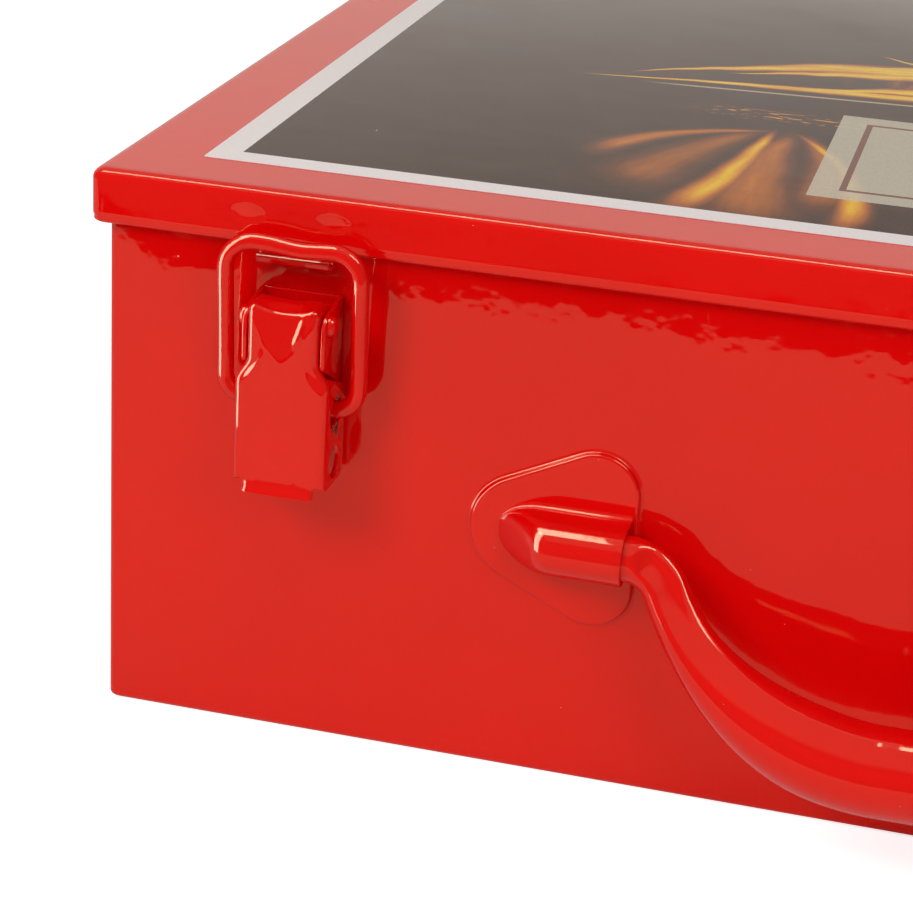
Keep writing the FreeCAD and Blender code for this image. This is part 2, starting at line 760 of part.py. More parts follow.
def check():
    """Stops the build if an object failed or a sub-part isn't a sound solid."""
    DOC.recompute()
    for thing in DOC.Objects:
        if {"Invalid", "Error"} & set(thing.State):
            raise RuntimeError(f"{thing.Label} failed: {thing.State}")
    for piece in PIECES:
        shape = piece.Shape
        if shape.isNull() or not shape.isValid() or not shape.Solids or shape.Volume <= 0:
            raise RuntimeError(f"{piece.Label} isn't a sound solid")


def main():
    make_body_shell()
    make_lid_shell()
    make_lid_label()
    for side, sign in SIDES.items():
        make_hinge(side, sign)
        make_latch_base(side, sign)
        make_latch_lever(side, sign)
        make_latch_pin(side, sign)
        make_latch_bail(side, sign)
        make_latch_catch(side, sign)
        make_bracket(side, sign)
    make_handle()
    check()
    os.makedirs("parts", exist_ok=True)
    for piece in PIECES:
        piece.Shape.exportStep(f"parts/{piece.Label}.step")


main()
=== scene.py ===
"""Looks for the latched metal carrying case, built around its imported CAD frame.

Shapes are written in millimetres and turned into metres when their meshes are made. Parts on the
front are drawn against a wall at v = 0, where v is the distance outwards from the front wall.
"""

import json
import math

import bmesh
import bpy
from mathutils import Matrix, Vector, noise

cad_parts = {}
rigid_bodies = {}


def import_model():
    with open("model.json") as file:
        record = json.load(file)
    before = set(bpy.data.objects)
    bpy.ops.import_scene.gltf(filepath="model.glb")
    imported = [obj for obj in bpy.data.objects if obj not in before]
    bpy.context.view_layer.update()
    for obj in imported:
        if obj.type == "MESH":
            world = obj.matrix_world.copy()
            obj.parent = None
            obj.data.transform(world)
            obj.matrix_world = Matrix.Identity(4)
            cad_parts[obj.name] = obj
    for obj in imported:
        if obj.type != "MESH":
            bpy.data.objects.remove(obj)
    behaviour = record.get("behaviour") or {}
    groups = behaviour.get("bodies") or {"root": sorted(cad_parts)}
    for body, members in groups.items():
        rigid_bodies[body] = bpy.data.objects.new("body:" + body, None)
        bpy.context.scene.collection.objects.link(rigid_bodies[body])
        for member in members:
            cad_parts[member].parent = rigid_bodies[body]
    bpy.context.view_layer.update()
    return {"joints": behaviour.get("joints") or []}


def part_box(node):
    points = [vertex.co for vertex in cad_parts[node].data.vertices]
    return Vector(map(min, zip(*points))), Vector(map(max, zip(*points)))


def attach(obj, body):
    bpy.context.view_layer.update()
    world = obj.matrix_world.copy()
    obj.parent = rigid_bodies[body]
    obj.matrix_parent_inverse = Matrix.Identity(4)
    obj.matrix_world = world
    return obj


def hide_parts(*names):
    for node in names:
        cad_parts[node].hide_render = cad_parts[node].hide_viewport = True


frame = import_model()

MM = 0.001
SIDES = {"left": -1, "right": 1}

# ---------------------------------------------------------------- sizes, read off the CAD frame


def node_box(node):
    """A CAD node's lowest and highest corners, in millimetres."""
    low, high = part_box(node)
    return low / MM, high / MM


_, BODY_HIGH = node_box("body_shell")
LID_LOW, LID_HIGH = node_box("lid_shell")
LABEL_LOW, LABEL_HIGH = node_box("lid_label")
LEVER_LOW, LEVER_HIGH = node_box("latch_lever_right")
BAIL_LOW, BAIL_HIGH = node_box("latch_bail_right")
BASE_LOW, BASE_HIGH = node_box("latch_base_right")
_, CATCH_HIGH = node_box("latch_catch_right")

HALF_WIDTH = BODY_HIGH.x
HALF_DEPTH = BODY_HIGH.y
LID_HALF_WIDTH = LID_HIGH.x
LID_HALF_DEPTH = LID_HIGH.y
RIM = BODY_HIGH.z
LID_TOP = LID_HIGH.z
SKIRT_FOOT = LID_LOW.z
LATCH_X = (LEVER_LOW.x + LEVER_HIGH.x) / 2
SHEET = 0.8
LATCH_SHEET = 1.0
LEAF_SHEET = 1.2
PIN_BORE = 1.58
SOCKET_MOUTH = 88.0


def joint_place(name):
    """A joint's point, in millimetres."""
    found = next(joint for joint in frame["joints"] if joint["name"] == name)
    return Vector(found["pos_m"]) / MM


def joint_on_front(name):
    """How far a joint's point is out from the front wall, and its height."""
    place = joint_place(name)
    return -HALF_DEPTH - place.y, place.z


# ---------------------------------------------------------------- mesh helpers


def on_front(x, v, z):
    """A point given by its distance v outwards from the front wall."""
    return Vector((x, -HALF_DEPTH - v, z))


def mesh_object(name, shape):
    """Links a mended mesh made from (points in millimetres, faces)."""
    points, faces = shape
    mesh = bpy.data.meshes.new(name)
    mesh.from_pydata([Vector(point) * MM for point in points], [], faces)
    made = bpy.data.objects.new(name, mesh)
    bpy.context.scene.collection.objects.link(made)
    mend(made)
    return made


def new_piece(name, shape, body, material, replaces=None):
    """Makes a piece that rides a body, in place of the CAD node it replaces, if any."""
    piece = mesh_object(name, shape)
    piece.data.materials.append(material)
    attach(piece, body)
    if replaces:
        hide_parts(replaces)
    return piece


def mend(piece):
    """Joins points that meet, drops faces with no area and turns the rest outwards."""
    work = bmesh.new()
    work.from_mesh(piece.data)
    bmesh.ops.remove_doubles(work, verts=work.verts, dist=1e-6)
    bmesh.ops.dissolve_degenerate(work, dist=1e-7, edges=work.edges)
    bmesh.ops.recalc_face_normals(work, faces=work.faces)
    work.to_mesh(piece.data)
    work.free()


def apply_modifiers(piece):
    """Swaps the piece's mesh for the one its modifiers make."""
    seen = piece.evaluated_get(bpy.context.evaluated_depsgraph_get())
    mesh = bpy.data.meshes.new_from_object(seen)
    old = piece.data
    piece.modifiers.clear()
    piece.data = mesh
    mesh.name = piece.name
    bpy.data.meshes.remove(old)


def smooth(piece, angle=32):
    """Smooth shading, kept sharp across edges steeper than the angle, in degrees."""
    piece.data.shade_smooth()
    piece.data.set_sharp_from_angle(angle=math.radians(angle))
    return piece


def bevel(piece, width, segments=3, angle=35):
    """Rounds the edges that are steeper than the angle, in degrees."""
    modifier = piece.modifiers.new("bevel", "BEVEL")
    modifier.width = width * MM
    modifier.segments = segments
    modifier.limit_method = "ANGLE"
    modifier.angle_limit = math.radians(angle)
    modifier.harden_normals = False
    modifier.miter_outer = "MITER_ARC"
    apply_modifiers(piece)


def thicken(piece, thickness):
    """Gives a sheet its thickness on the side its faces turn away from."""
    modifier = piece.modifiers.new("sheet", "SOLIDIFY")
    modifier.thickness = thickness * MM
    modifier.offset = -1
    apply_modifiers(piece)


def carve(piece, *tools):
    """Takes closed tool meshes away from the piece, then drops the tools."""
    for tool in tools:
        modifier = piece.modifiers.new("carve", "BOOLEAN")
        modifier.operation = "DIFFERENCE"
        modifier.solver = "EXACT"
        modifier.object = tool
        apply_modifiers(piece)
        bpy.data.objects.remove(tool)


def end_caps(points, count):
    """Faces that close the first and the last loop of a list of points."""
    return [list(range(count)), list(range(len(points) - count, len(points)))]


def bridge(before, after):
    """Faces between two chains of point numbers."""
    return [
        [before[i], before[i + 1], after[i + 1], after[i]] for i in range(len(before) - 1)
    ]


def prism(outline, start, end):
    """Points and faces of a solid that runs from each outline point's start to its end."""
    count = len(outline)
    points = [start(point) for point in outline] + [end(point) for point in outline]
    faces = [
        [i, (i + 1) % count, count + (i + 1) % count, count + i] for i in range(count)
    ]
    return points, faces + end_caps(points, count)


def across(outline, x_low, x_high):
    """A prism across the case, from an outline of (v, z) points."""
    return prism(
        outline, lambda p: on_front(x_low, *p), lambda p: on_front(x_high, *p)
    )


def grid_faces(rows, columns, wrap=False):
    """Faces between rows of points that follow each other in a list."""
    faces = []
    span = columns if wrap else columns - 1
    for row in range(rows - 1):
        for column in range(span):
            here = row * columns + column
            there = row * columns + (column + 1) % columns
            faces.append([here, there, there + columns, here + columns])
    return faces


def arc(centre, radius, begin, end, steps):
    """Points of a circular arc in a plane; angles in degrees, both ends included."""
    angles = (math.radians(begin + (end - begin) * i / steps) for i in range(steps + 1))
    return [
        (centre[0] + radius * math.cos(a), centre[1] + radius * math.sin(a)) for a in angles
    ]


def rounded_corners(corners, steps=8):
    """A closed outline with its corners rounded; each corner is (x, y, radius)."""
    outline = []
    count = len(corners)
    for i, (x, y, radius) in enumerate(corners):
        corner = Vector((x, y))
        if radius <= 0:
            outline.append((x, y))
            continue
        back = (Vector(corners[i - 1][:2]) - corner).normalized()
        ahead = (Vector(corners[(i + 1) % count][:2]) - corner).normalized()
        half = back.angle(ahead) / 2
        centre = corner + (back + ahead).normalized() * (radius / math.sin(half))
        start = corner + back * (radius / math.tan(half))
        end = corner + ahead * (radius / math.tan(half))
        turn = (start - centre).angle_signed(end - centre)
        for step in range(steps + 1):
            spoke = start - centre
            spoke.rotate(Matrix.Rotation(-turn * step / steps, 2))
            outline.append(tuple(centre + spoke))
    return outline


def plate_outline(half, foot, head, foot_round, head_round):
    """A plate's outline as (distance from its middle, height), with its corners rounded."""
    return rounded_corners([
        (-half, foot, foot_round), (half, foot, foot_round),
        (half, head, head_round), (-half, head, head_round),
    ])


def spokes(side, up, count):
    """Evenly spaced directions round a circle, from side towards up."""
    for j in range(count):
        angle = math.tau * j / count
        yield side * math.cos(angle) + up * math.sin(angle)


def tube(stations, sides):
    """A round tube through stations of (centre, radius, shape); shape is a radius factor by angle.

    Angles start at the frame's side direction, which is carried along without twisting.
    """
    centres = [Vector(centre) for centre, _, _ in stations]
    points = []
    side = None
    for i, (_, radius, shape) in enumerate(stations):
        ahead = centres[min(i + 1, len(centres) - 1)] - centres[max(i - 1, 0)]
        ahead.normalize()
        if side is None:
            side = ahead.orthogonal().normalized()
        side = (side - ahead * side.dot(ahead)).normalized()
        for spoke in spokes(side, ahead.cross(side), sides):
            factor = shape(spoke) if shape else 1.0
            points.append(centres[i] + spoke * radius * factor)
    return points, grid_faces(len(stations), sides, True) + end_caps(points, sides)


def lathe(profile, centre, axis, sides=40):
    """A turned solid; profile is (distance along the axis, radius), from end to end."""
    axis = Vector(axis).normalized()
    side = axis.orthogonal().normalized()
    points = [
        Vector(centre) + axis * along + spoke * max(radius, 1e-4)
        for along, radius in profile
        for spoke in spokes(side, axis.cross(side), sides)
    ]
    return points, grid_faces(len(profile), sides, True) + end_caps(points, sides)


def ease(low, high, at):
    """Smooth step from 0 at low to 1 at high."""
    share = min(1.0, max(0.0, (at - low) / (high - low)))
    return share * share * (3 - 2 * share)


def joined(*parts):
    """One list of points and one of faces from several (points, faces) pairs."""
    points, faces = [], []
    for more_points, more_faces in parts:
        shift = len(points)
        points += list(more_points)
        faces += [[index + shift for index in face] for face in more_faces]
    return points, faces


# ---------------------------------------------------------------- shader helpers


class Graph:
    """A short way to write the shader nodes of a new material, or of a world."""

    def __init__(self, name, world=None):
        self.material = world or bpy.data.materials.new(name)
        self.material.use_nodes = True
        self.nodes = self.material.node_tree.nodes
        self.links = self.material.node_tree.links
        self.nodes.clear()

    def node(self, kind, inputs=None, **settings):
        made = self.nodes.new(f"ShaderNode{kind}")
        for key, setting in settings.items():
            setattr(made, key, setting)
        for key, source in (inputs or {}).items():
            self.feed(made.inputs[key], source)
        return made

    def feed(self, socket, source):
        if isinstance(source, bpy.types.NodeSocket):
            self.links.new(source, socket)
        elif isinstance(source, (tuple, list)) and len(source) == 3 and socket.type == "RGBA":
            socket.default_value = (*source, 1.0)
        else:
            socket.default_value = source

    def math(self, operation, first, second=0.0, third=None, clamp=False):
        inputs = {0: first, 1: second}
        if third is not None:
            inputs[2] = third
        return self.node("Math", inputs, operation=operation, use_clamp=clamp).outputs[0]

    def minus(self, first, second):
        return self.math("SUBTRACT", first, second)

    def over(self, first, second):
        return self.math("DIVIDE", first, second)

    def size(self, source):
        return self.math("ABSOLUTE", source)

    def most(self, first, second):
        return self.math("MAXIMUM", first, second)

    def reach(self, across_by, up_by):
        """Distance from the middle, from how far across and how far up."""
        squares = self.product(across_by, across_by), self.product(up_by, up_by)
        return self.math("SQRT", self.total(*squares))

    def total(self, *terms):
        result = terms[0]
        for term in terms[1:]:
            result = self.math("ADD", result, term)
        return result

    def product(self, *factors):
        result = factors[0]
        for factor in factors[1:]:
            result = self.math("MULTIPLY", result, factor)
        return result

    def step(self, source, low, high):
        """Smooth step from 0 at low to 1 at high."""
        return self.node(
            "MapRange",
            {0: source, 1: low, 2: high, 3: 0.0, 4: 1.0},
            interpolation_type="SMOOTHSTEP",
            clamp=True,
        ).outputs[0]

    def place(self):
        return self.node("TexCoord").outputs["Object"]

    def split(self, vector):
        return self.node("SeparateXYZ", {0: vector}).outputs

    def merge(self, x, y, z=0.0):
        return self.node("CombineXYZ", {0: x, 1: y, 2: z}).outputs[0]

    def noise(self, vector, scale, detail=2.0, roughness=0.5, distortion=0.0):
        return self.node(
            "TexNoise",
            {
                "Vector": vector,
                "Scale": scale,
                "Detail": detail,
                "Roughness": roughness,
                "Distortion": distortion,
            },
        ).outputs[0]

    def mix(self, factor, first, second):
        made = self.node("Mix", data_type="RGBA")
        self.feed(made.inputs[0], factor)
        self.feed(made.inputs[6], first)
        self.feed(made.inputs[7], second)
        return made.outputs[2]

    def bump(self, height, distance, strength=1.0, normal=None):
        inputs = {"Height": height, "Distance": distance, "Strength": strength}
        if normal is not None:
            inputs["Normal"] = normal
        return self.node("Bump", inputs).outputs[0]

    def finish(self, **inputs):
        shader = self.node("BsdfPrincipled")
        for key, source in inputs.items():
            self.feed(shader.inputs[key.replace("_", " ")], source)
        out = self.node("OutputMaterial")
        self.links.new(shader.outputs[0], out.inputs[0])
        return self.material


def specks(graph, place, cell, radius, share):
    """A mask of sparse round specks: one in a share of the cells, each of about the radius."""
    cells = graph.node("TexVoronoi", {"Vector": place, "Scale": 1.0 / cell})
    near = graph.math("LESS_THAN", cells.outputs["Distance"], radius / cell)
    picked = graph.math("LESS_THAN", graph.split(cells.outputs["Color"])[0], share)
    return graph.product(near, picked)


# ---------------------------------------------------------------- materials

ENAMEL_RED = (0.78, 0.0016, 0.0018)
ENAMEL_DEEP = (0.72, 0.001, 0.0013)
ENAMEL_TINT = (1.0, 0.95, 0.6)
DUST = (0.95, 0.42, 0.33)
WORN_METAL = (0.42, 0.39, 0.36)
STEEL, STEEL_STAIN = (0.52, 0.51, 0.5), (0.33, 0.3, 0.27)
NIGHT, NIGHT_LIT, NIGHT_BLUE = (0.02, 0.013, 0.011), (0.036, 0.027, 0.024), (0.014, 0.02, 0.055)
TWIG, SPARK = (0.75, 0.55, 0.33), (0.9, 0.55, 0.25)
PLATE, PLATE_LINE, PLATE_RULE = (0.62, 0.55, 0.42), (0.17, 0.018, 0.015), (0.022, 0.03, 0.035)
GRAIN, PAPER, PAPER_GRAIN = (0.1, 0.09, 0.1), (0.86, 0.78, 0.76), (0.82, 0.74, 0.72)


def enamel(name, peel=1.0, wave=1.0, dust=1.0, bare=None, shade=1.0):
    """Thick glossy red enamel: orange peel at two scales, dust specks and fine handling marks.
    Shade below 1 darkens the base colour as painted shade.
    """
    graph = Graph(name)
    place = graph.place()
    drift = graph.step(graph.noise(place, 14.0, 3.0), 0.3, 0.7)
    # shade scales the base colour down: painted shade, giving darker copies of one paint
    light, deep = ([shade * part for part in tone] for tone in (ENAMEL_RED, ENAMEL_DEEP))
    colour = graph.mix(drift, light, deep)
    small = specks(graph, place, 0.011, 0.00022, 0.35)
    fine = specks(graph, place, 0.004, 0.0001, 0.12)
    dots = graph.most(small, fine)
    colour = graph.mix(graph.product(dots, 0.8 * dust), colour, DUST)
    # Fine handling marks: short scratches that only show in the gloss.
    stretched = graph.node("Mapping", {0: place, 3: (900.0, 60.0, 120.0)}).outputs[0]
    scratches = graph.step(graph.noise(stretched, 1.0, 1.0), 0.72, 0.78)
    smears = graph.step(graph.noise(place, 38.0, 4.0, 0.6), 0.5, 0.8)
    rough = graph.total(
        0.03, graph.product(smears, 0.04), graph.product(scratches, 0.12), graph.product(dots, 0.3)
    )
    normal = graph.bump(graph.noise(place, 55.0, 1.0), 0.00009 * wave)
    normal = graph.bump(graph.noise(place, 210.0, 1.5), 0.00002 * peel, normal=normal)
    normal = graph.bump(dots, 0.00006 * dust, normal=normal)
    metal = 0.0
    if bare is not None:
        worn = bare(graph, place)
        colour = graph.mix(worn, colour, WORN_METAL)
        rough = graph.total(rough, graph.product(worn, 0.25))
        metal = worn
        normal = graph.bump(graph.minus(1.0, worn), 0.00012, normal=normal)
    return graph.finish(
        Base_Color=colour,
        Metallic=metal,
        Roughness=rough,
        IOR=1.5,
        Normal=normal,
        Specular_Tint=ENAMEL_TINT,
    )


def rub_spots(graph, place):
    """Bare metal where the bail's feet rub the lever's flanges."""
    x, y, z = graph.split(place)
    pin = joint_place("bail_right_turn") * MM
    side = graph.minus(graph.size(x), LATCH_X * MM)
    outer = graph.step(graph.size(side), 0.0091, 0.0096)
    ragged = graph.product(graph.minus(graph.noise(place, 900.0, 3.0), 0.5), 0.0022)

    def spot(up, wide, tall):
        """A ragged oval, a distance up from the bail's hole."""
        dy = graph.over(graph.minus(y, pin.y), wide)
        dz = graph.over(graph.minus(z, pin.z + up), tall)
        reach = graph.reach(dy, dz)
        edge = graph.math("ADD", reach, graph.product(ragged, 1.0 / wide))
        return graph.step(edge, 1.05, 0.85)

    below = spot(-0.0044, 0.0016, 0.0017)
    above = spot(0.0021, 0.0012, 0.0008)
    return graph.product(outer, graph.most(below, above))


def steel(name):
    """Plain turned steel with fine rings."""
    graph = Graph(name)
    place = graph.place()
    stretched = graph.node("Mapping", {0: place, 3: (4000.0, 120.0, 120.0)}).outputs[0]
    rings = graph.noise(stretched, 1.0, 2.0)
    stain = graph.step(graph.noise(place, 220.0, 3.0), 0.45, 0.75)
    return graph.finish(
        Base_Color=graph.mix(stain, STEEL, STEEL_STAIN),
        Metallic=1.0,
        Roughness=graph.total(0.22, graph.product(rings, 0.2)),
        Normal=graph.bump(rings, 0.00001),
    )


def flame_ramp(graph, heat):
    """Colours of fire, from nothing through deep orange to pale yellow."""
    ramp = graph.node("ValToRGB", {0: heat})
    stops = (
        (0.0, (0.0, 0.0, 0.0)),
        (0.25, (0.14, 0.03, 0.0)),
        (0.5, (0.48, 0.12, 0.0)),
        (0.75, (0.78, 0.3, 0.0)),
        (1.0, (0.95, 0.62, 0.0)),
    )
    elements = ramp.color_ramp.elements
    while len(elements) < len(stops):
        elements.new(0.5)
    for element, (position, colour) in zip(elements, stops):
        element.position = position
        element.color = (*colour, 1.0)
    return ramp.outputs[0]


def printed_picture(name):
    """Printed film: a night ground with made-up flames and their glow, inside a pale border."""
    graph = Graph(name)
    place = graph.place()
    x, y, _ = graph.split(place)
    half_width, half_depth = LABEL_HIGH.x * MM, LABEL_HIGH.y * MM
    border = 6.3 * MM

    # Dark ground, a little blue at the margins and brown near the fire.
    mottle = graph.noise(graph.merge(x, graph.product(y, 2.2)), 60.0, 5.0, 0.62)
    ground = graph.mix(graph.step(mottle, 0.3, 0.75), NIGHT, NIGHT_LIT)
    blue = graph.step(graph.noise(place, 22.0, 2.0), 0.62, 0.78)
    ground = graph.mix(graph.product(blue, 0.5), ground, NIGHT_BLUE)

    def tongue(x_tip, y_tip, x_root, y_root, width, bow, wobble, blurred=False):
        """Heat of one flame tongue from its tip to its root; a blurred one is a wet reflection."""
        along_x, along_y = (x_root - x_tip) * MM, (y_root - y_tip) * MM
        length = math.hypot(along_x, along_y)
        unit_x, unit_y = along_x / length, along_y / length
        dx, dy = graph.minus(x, x_tip * MM), graph.minus(y, y_tip * MM)
        along = graph.total(graph.product(dx, unit_x), graph.product(dy, unit_y))
        aside = graph.total(graph.product(dx, -unit_y), graph.product(dy, unit_x))
        share = graph.over(along, length)
        arch = graph.product(share, graph.minus(1.0, share), 4 * bow * MM)
        waver = graph.noise(graph.merge(along, 0.0, y_tip), 45.0, 2.0)
        aside = graph.total(aside, arch, graph.product(graph.minus(waver, 0.5), wobble * MM))
        body = graph.step(share, -0.02, 0.8)
        if blurred:
            body = graph.math("MULTIPLY_ADD", graph.minus(1.0, share), 1.1, 0.16)
        half = graph.math("MULTIPLY_ADD", body, width * MM, 0.0004)
        reach = graph.over(graph.size(aside), half)
        streaks = graph.noise(
            graph.merge(graph.product(along, 0.16), aside, x_tip), 420.0, 2.0, 0.55
        )
        if blurred:
            core = graph.math("POWER", graph.step(reach, 1.35, 0.0), 1.25)
            lit = graph.total(0.72, graph.product(streaks, 0.4))
            ends = graph.product(graph.step(share, -0.06, 0.3), graph.step(share, 1.05, 0.8))
            return graph.product(core, lit, ends)
        core = graph.step(reach, 1.0, 0.15)
        lit = graph.total(0.55, graph.product(streaks, 0.75))
        return graph.product(core, lit, graph.step(share, -0.01, 0.1), graph.step(share, 1.1, 0.85))

    flames = [
        tongue(-131, -30, -25, -17, 4.2, -2.5, 3.0),
        tongue(-120, -24, -30, 12, 8.0, -8.0, 5.0),
        tongue(-98, -14, -20, 10, 8.0, -4.0, 6.0),
        tongue(-86, -20, -10, 2, 8.0, 3.0, 7.0),
        tongue(-80, 2, -10, 20, 7.0, -3.0, 9.0),
        tongue(-64, 24, -6, 6, 6.5, 4.0, 8.0),
        tongue(-46, 52, 2, 12, 6.0, 6.0, 9.0),
        tongue(-16, 84, 14, 14, 7.5, -6.0, 12.0),
        tongue(30, 72, 26, 12, 7.0, 6.0, 11.0),
        tongue(62, 44, 34, 6, 6.0, -5.0, 9.0),
        tongue(104, 6, 30, -2, 5.0, 5.0, 7.0),
        tongue(122, -22, 34, -12, 3.4, 3.0, 5.0),
    ]
    fire = flames[0]
    for flame in flames[1:]:
        fire = graph.most(fire, flame)

    # Soft glow on the wet ground below the fire.
    fan = (
        (-114, -101, -76, -62, 5.0, -7.5, 2.0, 0.6),
        (-102, -124, -79, -61, 12.0, -4.0, 3.0, 0.46),
        (-90, -137, -78, -60, 5.4, 2.0, 2.0, 0.98),
        (-73, -141, -74, -60, 13.0, -2.5, 3.0, 0.56),
        (-56, -138, -74, -61, 4.6, 8.0, 2.0, 0.98),
        (-64, -126, -72, -61, 10.0, 6.0, 2.0, 0.52),
        (40, -134, 58, -62, 8.0, -3.5, 2.0, 0.8),
        (74, -134, 66, -60, 9.5, 2.0, 3.0, 0.6),
        (104, -118, 72, -60, 8.0, 5.0, 3.0, 0.7),
    )
    glow = None
    for *shape, weight in fan:
        petal = graph.product(tongue(*shape, blurred=True), weight)
        glow = petal if glow is None else graph.math("SMOOTH_MAX", glow, petal, 0.12)
    heat = graph.most(fire, glow)

    # A lit twig, embers along the waterline, and a few sparks.
    bed = graph.product(
        graph.step(graph.size(graph.minus(y, -0.049)), 0.0075, 0.001),
        graph.step(x, -0.105, -0.085),
        graph.step(x, 0.105, 0.085),
    )
    glint = graph.noise(graph.merge(graph.product(x, 260.0), graph.product(y, 900.0)), 1.0, 3.0)
    embers = graph.product(bed, graph.step(glint, 0.52, 0.64))
    heat = graph.most(heat, graph.product(embers, 0.8))
    twig_line = graph.math("MULTIPLY_ADD", x, 0.09, -0.0205)
    twig = graph.step(graph.size(graph.minus(y, twig_line)), 0.0009, 0.0002)
    twig = graph.product(twig, graph.step(x, -0.116, -0.1), graph.step(x, 0.02, -0.01))
    wide, tall = graph.over(x, 0.078), graph.over(graph.minus(y, -0.004), 0.026)
    far_out = graph.reach(wide, tall)
    lick = graph.noise(graph.merge(x, graph.product(y, 0.35)), 130.0, 3.0, 0.6)
    halo = graph.product(graph.step(far_out, 1.1, 0.35), graph.step(lick, 0.3, 0.7), 0.85)
    heat = graph.most(heat, halo)
    sparks = specks(graph, place, 0.016, 0.00035, 0.12)
    picture = graph.node("Mix", data_type="RGBA", blend_type="ADD")
    graph.feed(picture.inputs[0], 1.0)
    graph.feed(picture.inputs[6], ground)
    graph.feed(picture.inputs[7], flame_ramp(graph, heat))
    colour = graph.mix(graph.product(twig, 0.75), picture.outputs[2], TWIG)
    colour = graph.mix(sparks, colour, SPARK)

    # A pale see-through title plate, with plain rules in place of any lettering.
    def within(low_x, high_x, low_y, high_y):
        return graph.product(
            graph.math("GREATER_THAN", x, low_x * MM),
            graph.math("LESS_THAN", x, high_x * MM),
            graph.math("GREATER_THAN", y, low_y * MM),
            graph.math("LESS_THAN", y, high_y * MM),
        )

    plate = within(-65, 65, -110, -41)
    colour = graph.mix(graph.product(plate, 0.84), colour, PLATE)
    frame_line = graph.minus(within(-59, 59, -104, -47), within(-57.6, 57.6, -102.6, -48.4))
    colour = graph.mix(graph.product(frame_line, 0.85), colour, PLATE_LINE)
    rules = graph.total(within(-45, 45, -82, -69), within(-34, 34, -94, -90))
    colour = graph.mix(graph.product(rules, 0.9), colour, PLATE_RULE)

    # The border, and print grain over everything.
    edge_x = graph.minus(half_width, graph.size(x))
    edge_y = graph.minus(half_depth, graph.size(y))
    edge = graph.math("LESS_THAN", graph.math("MINIMUM", edge_x, edge_y), border)
    grain = graph.noise(place, 2600.0, 1.0)
    colour = graph.mix(graph.product(graph.step(grain, 0.4, 0.75), 0.16), colour, GRAIN)
    paper = graph.mix(graph.step(grain, 0.4, 0.75), PAPER, PAPER_GRAIN)
    colour = graph.mix(edge, colour, paper)
    smears = graph.step(graph.noise(place, 30.0, 3.0, 0.6), 0.45, 0.8)
    normal = graph.bump(graph.noise(place, 40.0, 1.0), 0.00006)
    normal = graph.bump(graph.noise(place, 520.0, 1.0), 0.000005, normal=normal)
    return graph.finish(
        Base_Color=colour,
        Roughness=graph.total(0.16, graph.product(smears, 0.08)),
        IOR=1.5,
        Normal=normal,
    )


# ---------------------------------------------------------------- folded trays


def straight_stations(half, dense_at, dense_half, coarse, fine):
    """Stations along a straight side from -half to half, closer together around some places."""
    touch = 0.001
    places = [-half]
    while places[-1] < half:
        here = places[-1]
        close = any(abs(here - centre) < dense_half + touch for centre in dense_at)
        nearest = min((centre - dense_half - here for centre in dense_at
                       if centre - dense_half > here), default=coarse)
        places.append(min(half, here + (fine if close else min(coarse, max(nearest, fine)))))
    return places


def ring(half_x, half_y, radius, front_stations, corner_steps=7, side_steps=16):
    """Corner-rounded rectangle as (x, y, outward normal); the front side keeps its stations."""
    flat_x, flat_y = half_x - radius, half_y - radius
    points = []

    def side(start, end, normal, places):
        for share in places[:-1]:
            points.append((start + (end - start) * share, normal))

    def corner(centre, begin):
        for step in range(corner_steps):
            angle = math.radians(begin + 90 * step / corner_steps)
            normal = Vector((math.cos(angle), math.sin(angle)))
            points.append((centre + normal * radius, normal))

    even = [i / side_steps for i in range(side_steps + 1)]
    span = front_stations[-1] - front_stations[0]
    front = [(place - front_stations[0]) / span for place in front_stations]
    quarters = ((-1, -1), (1, -1), (1, 1), (-1, 1))
    corners = [Vector((sx * flat_x, sy * flat_y)) for sx, sy in quarters]
    south, east, north, west = (Vector(n) for n in ((0, -1), (1, 0), (0, 1), (-1, 0)))
    side(corners[0] + south * radius, corners[1] + south * radius, south, front)
    corner(corners[1], -90)
    side(corners[1] + east * radius, corners[2] + east * radius, east, even)
    corner(corners[2], 0)
    side(corners[2] + north * radius, corners[3] + north * radius, north, even)
    corner(corners[3], 90)
    side(corners[3] + west * radius, corners[0] + west * radius, west, even)
    corner(corners[0], 180)
    return points


def tray(half_x, half_y, profile, front_stations, dent=None):
    """A folded tray; profile is (inset, z, corner radius) from outside middle to inside middle."""
    points, count = [], 0
    for inset, z, radius in profile:
        loop = ring(half_x - inset, half_y - inset, max(radius, 0.05), front_stations)
        count = len(loop)
        for place, normal in loop:
            point = Vector((place.x, place.y, z))
            if dent is not None:
                point -= Vector((normal.x, normal.y, 0)) * dent(point, normal, inset)
            points.append(point)
    return points, grid_faces(len(profile), count, True) + end_caps(points, count)


def sheet_bow(point, normal, amount, seed):
    """Faint hand of the press: the flat sheet wanders by a fraction of a millimetre."""
    place = Vector((point.x / 90, point.y / 90, point.z / 90 + seed))
    return amount * noise.noise(place) * abs(normal.x * normal.y < 0.1)


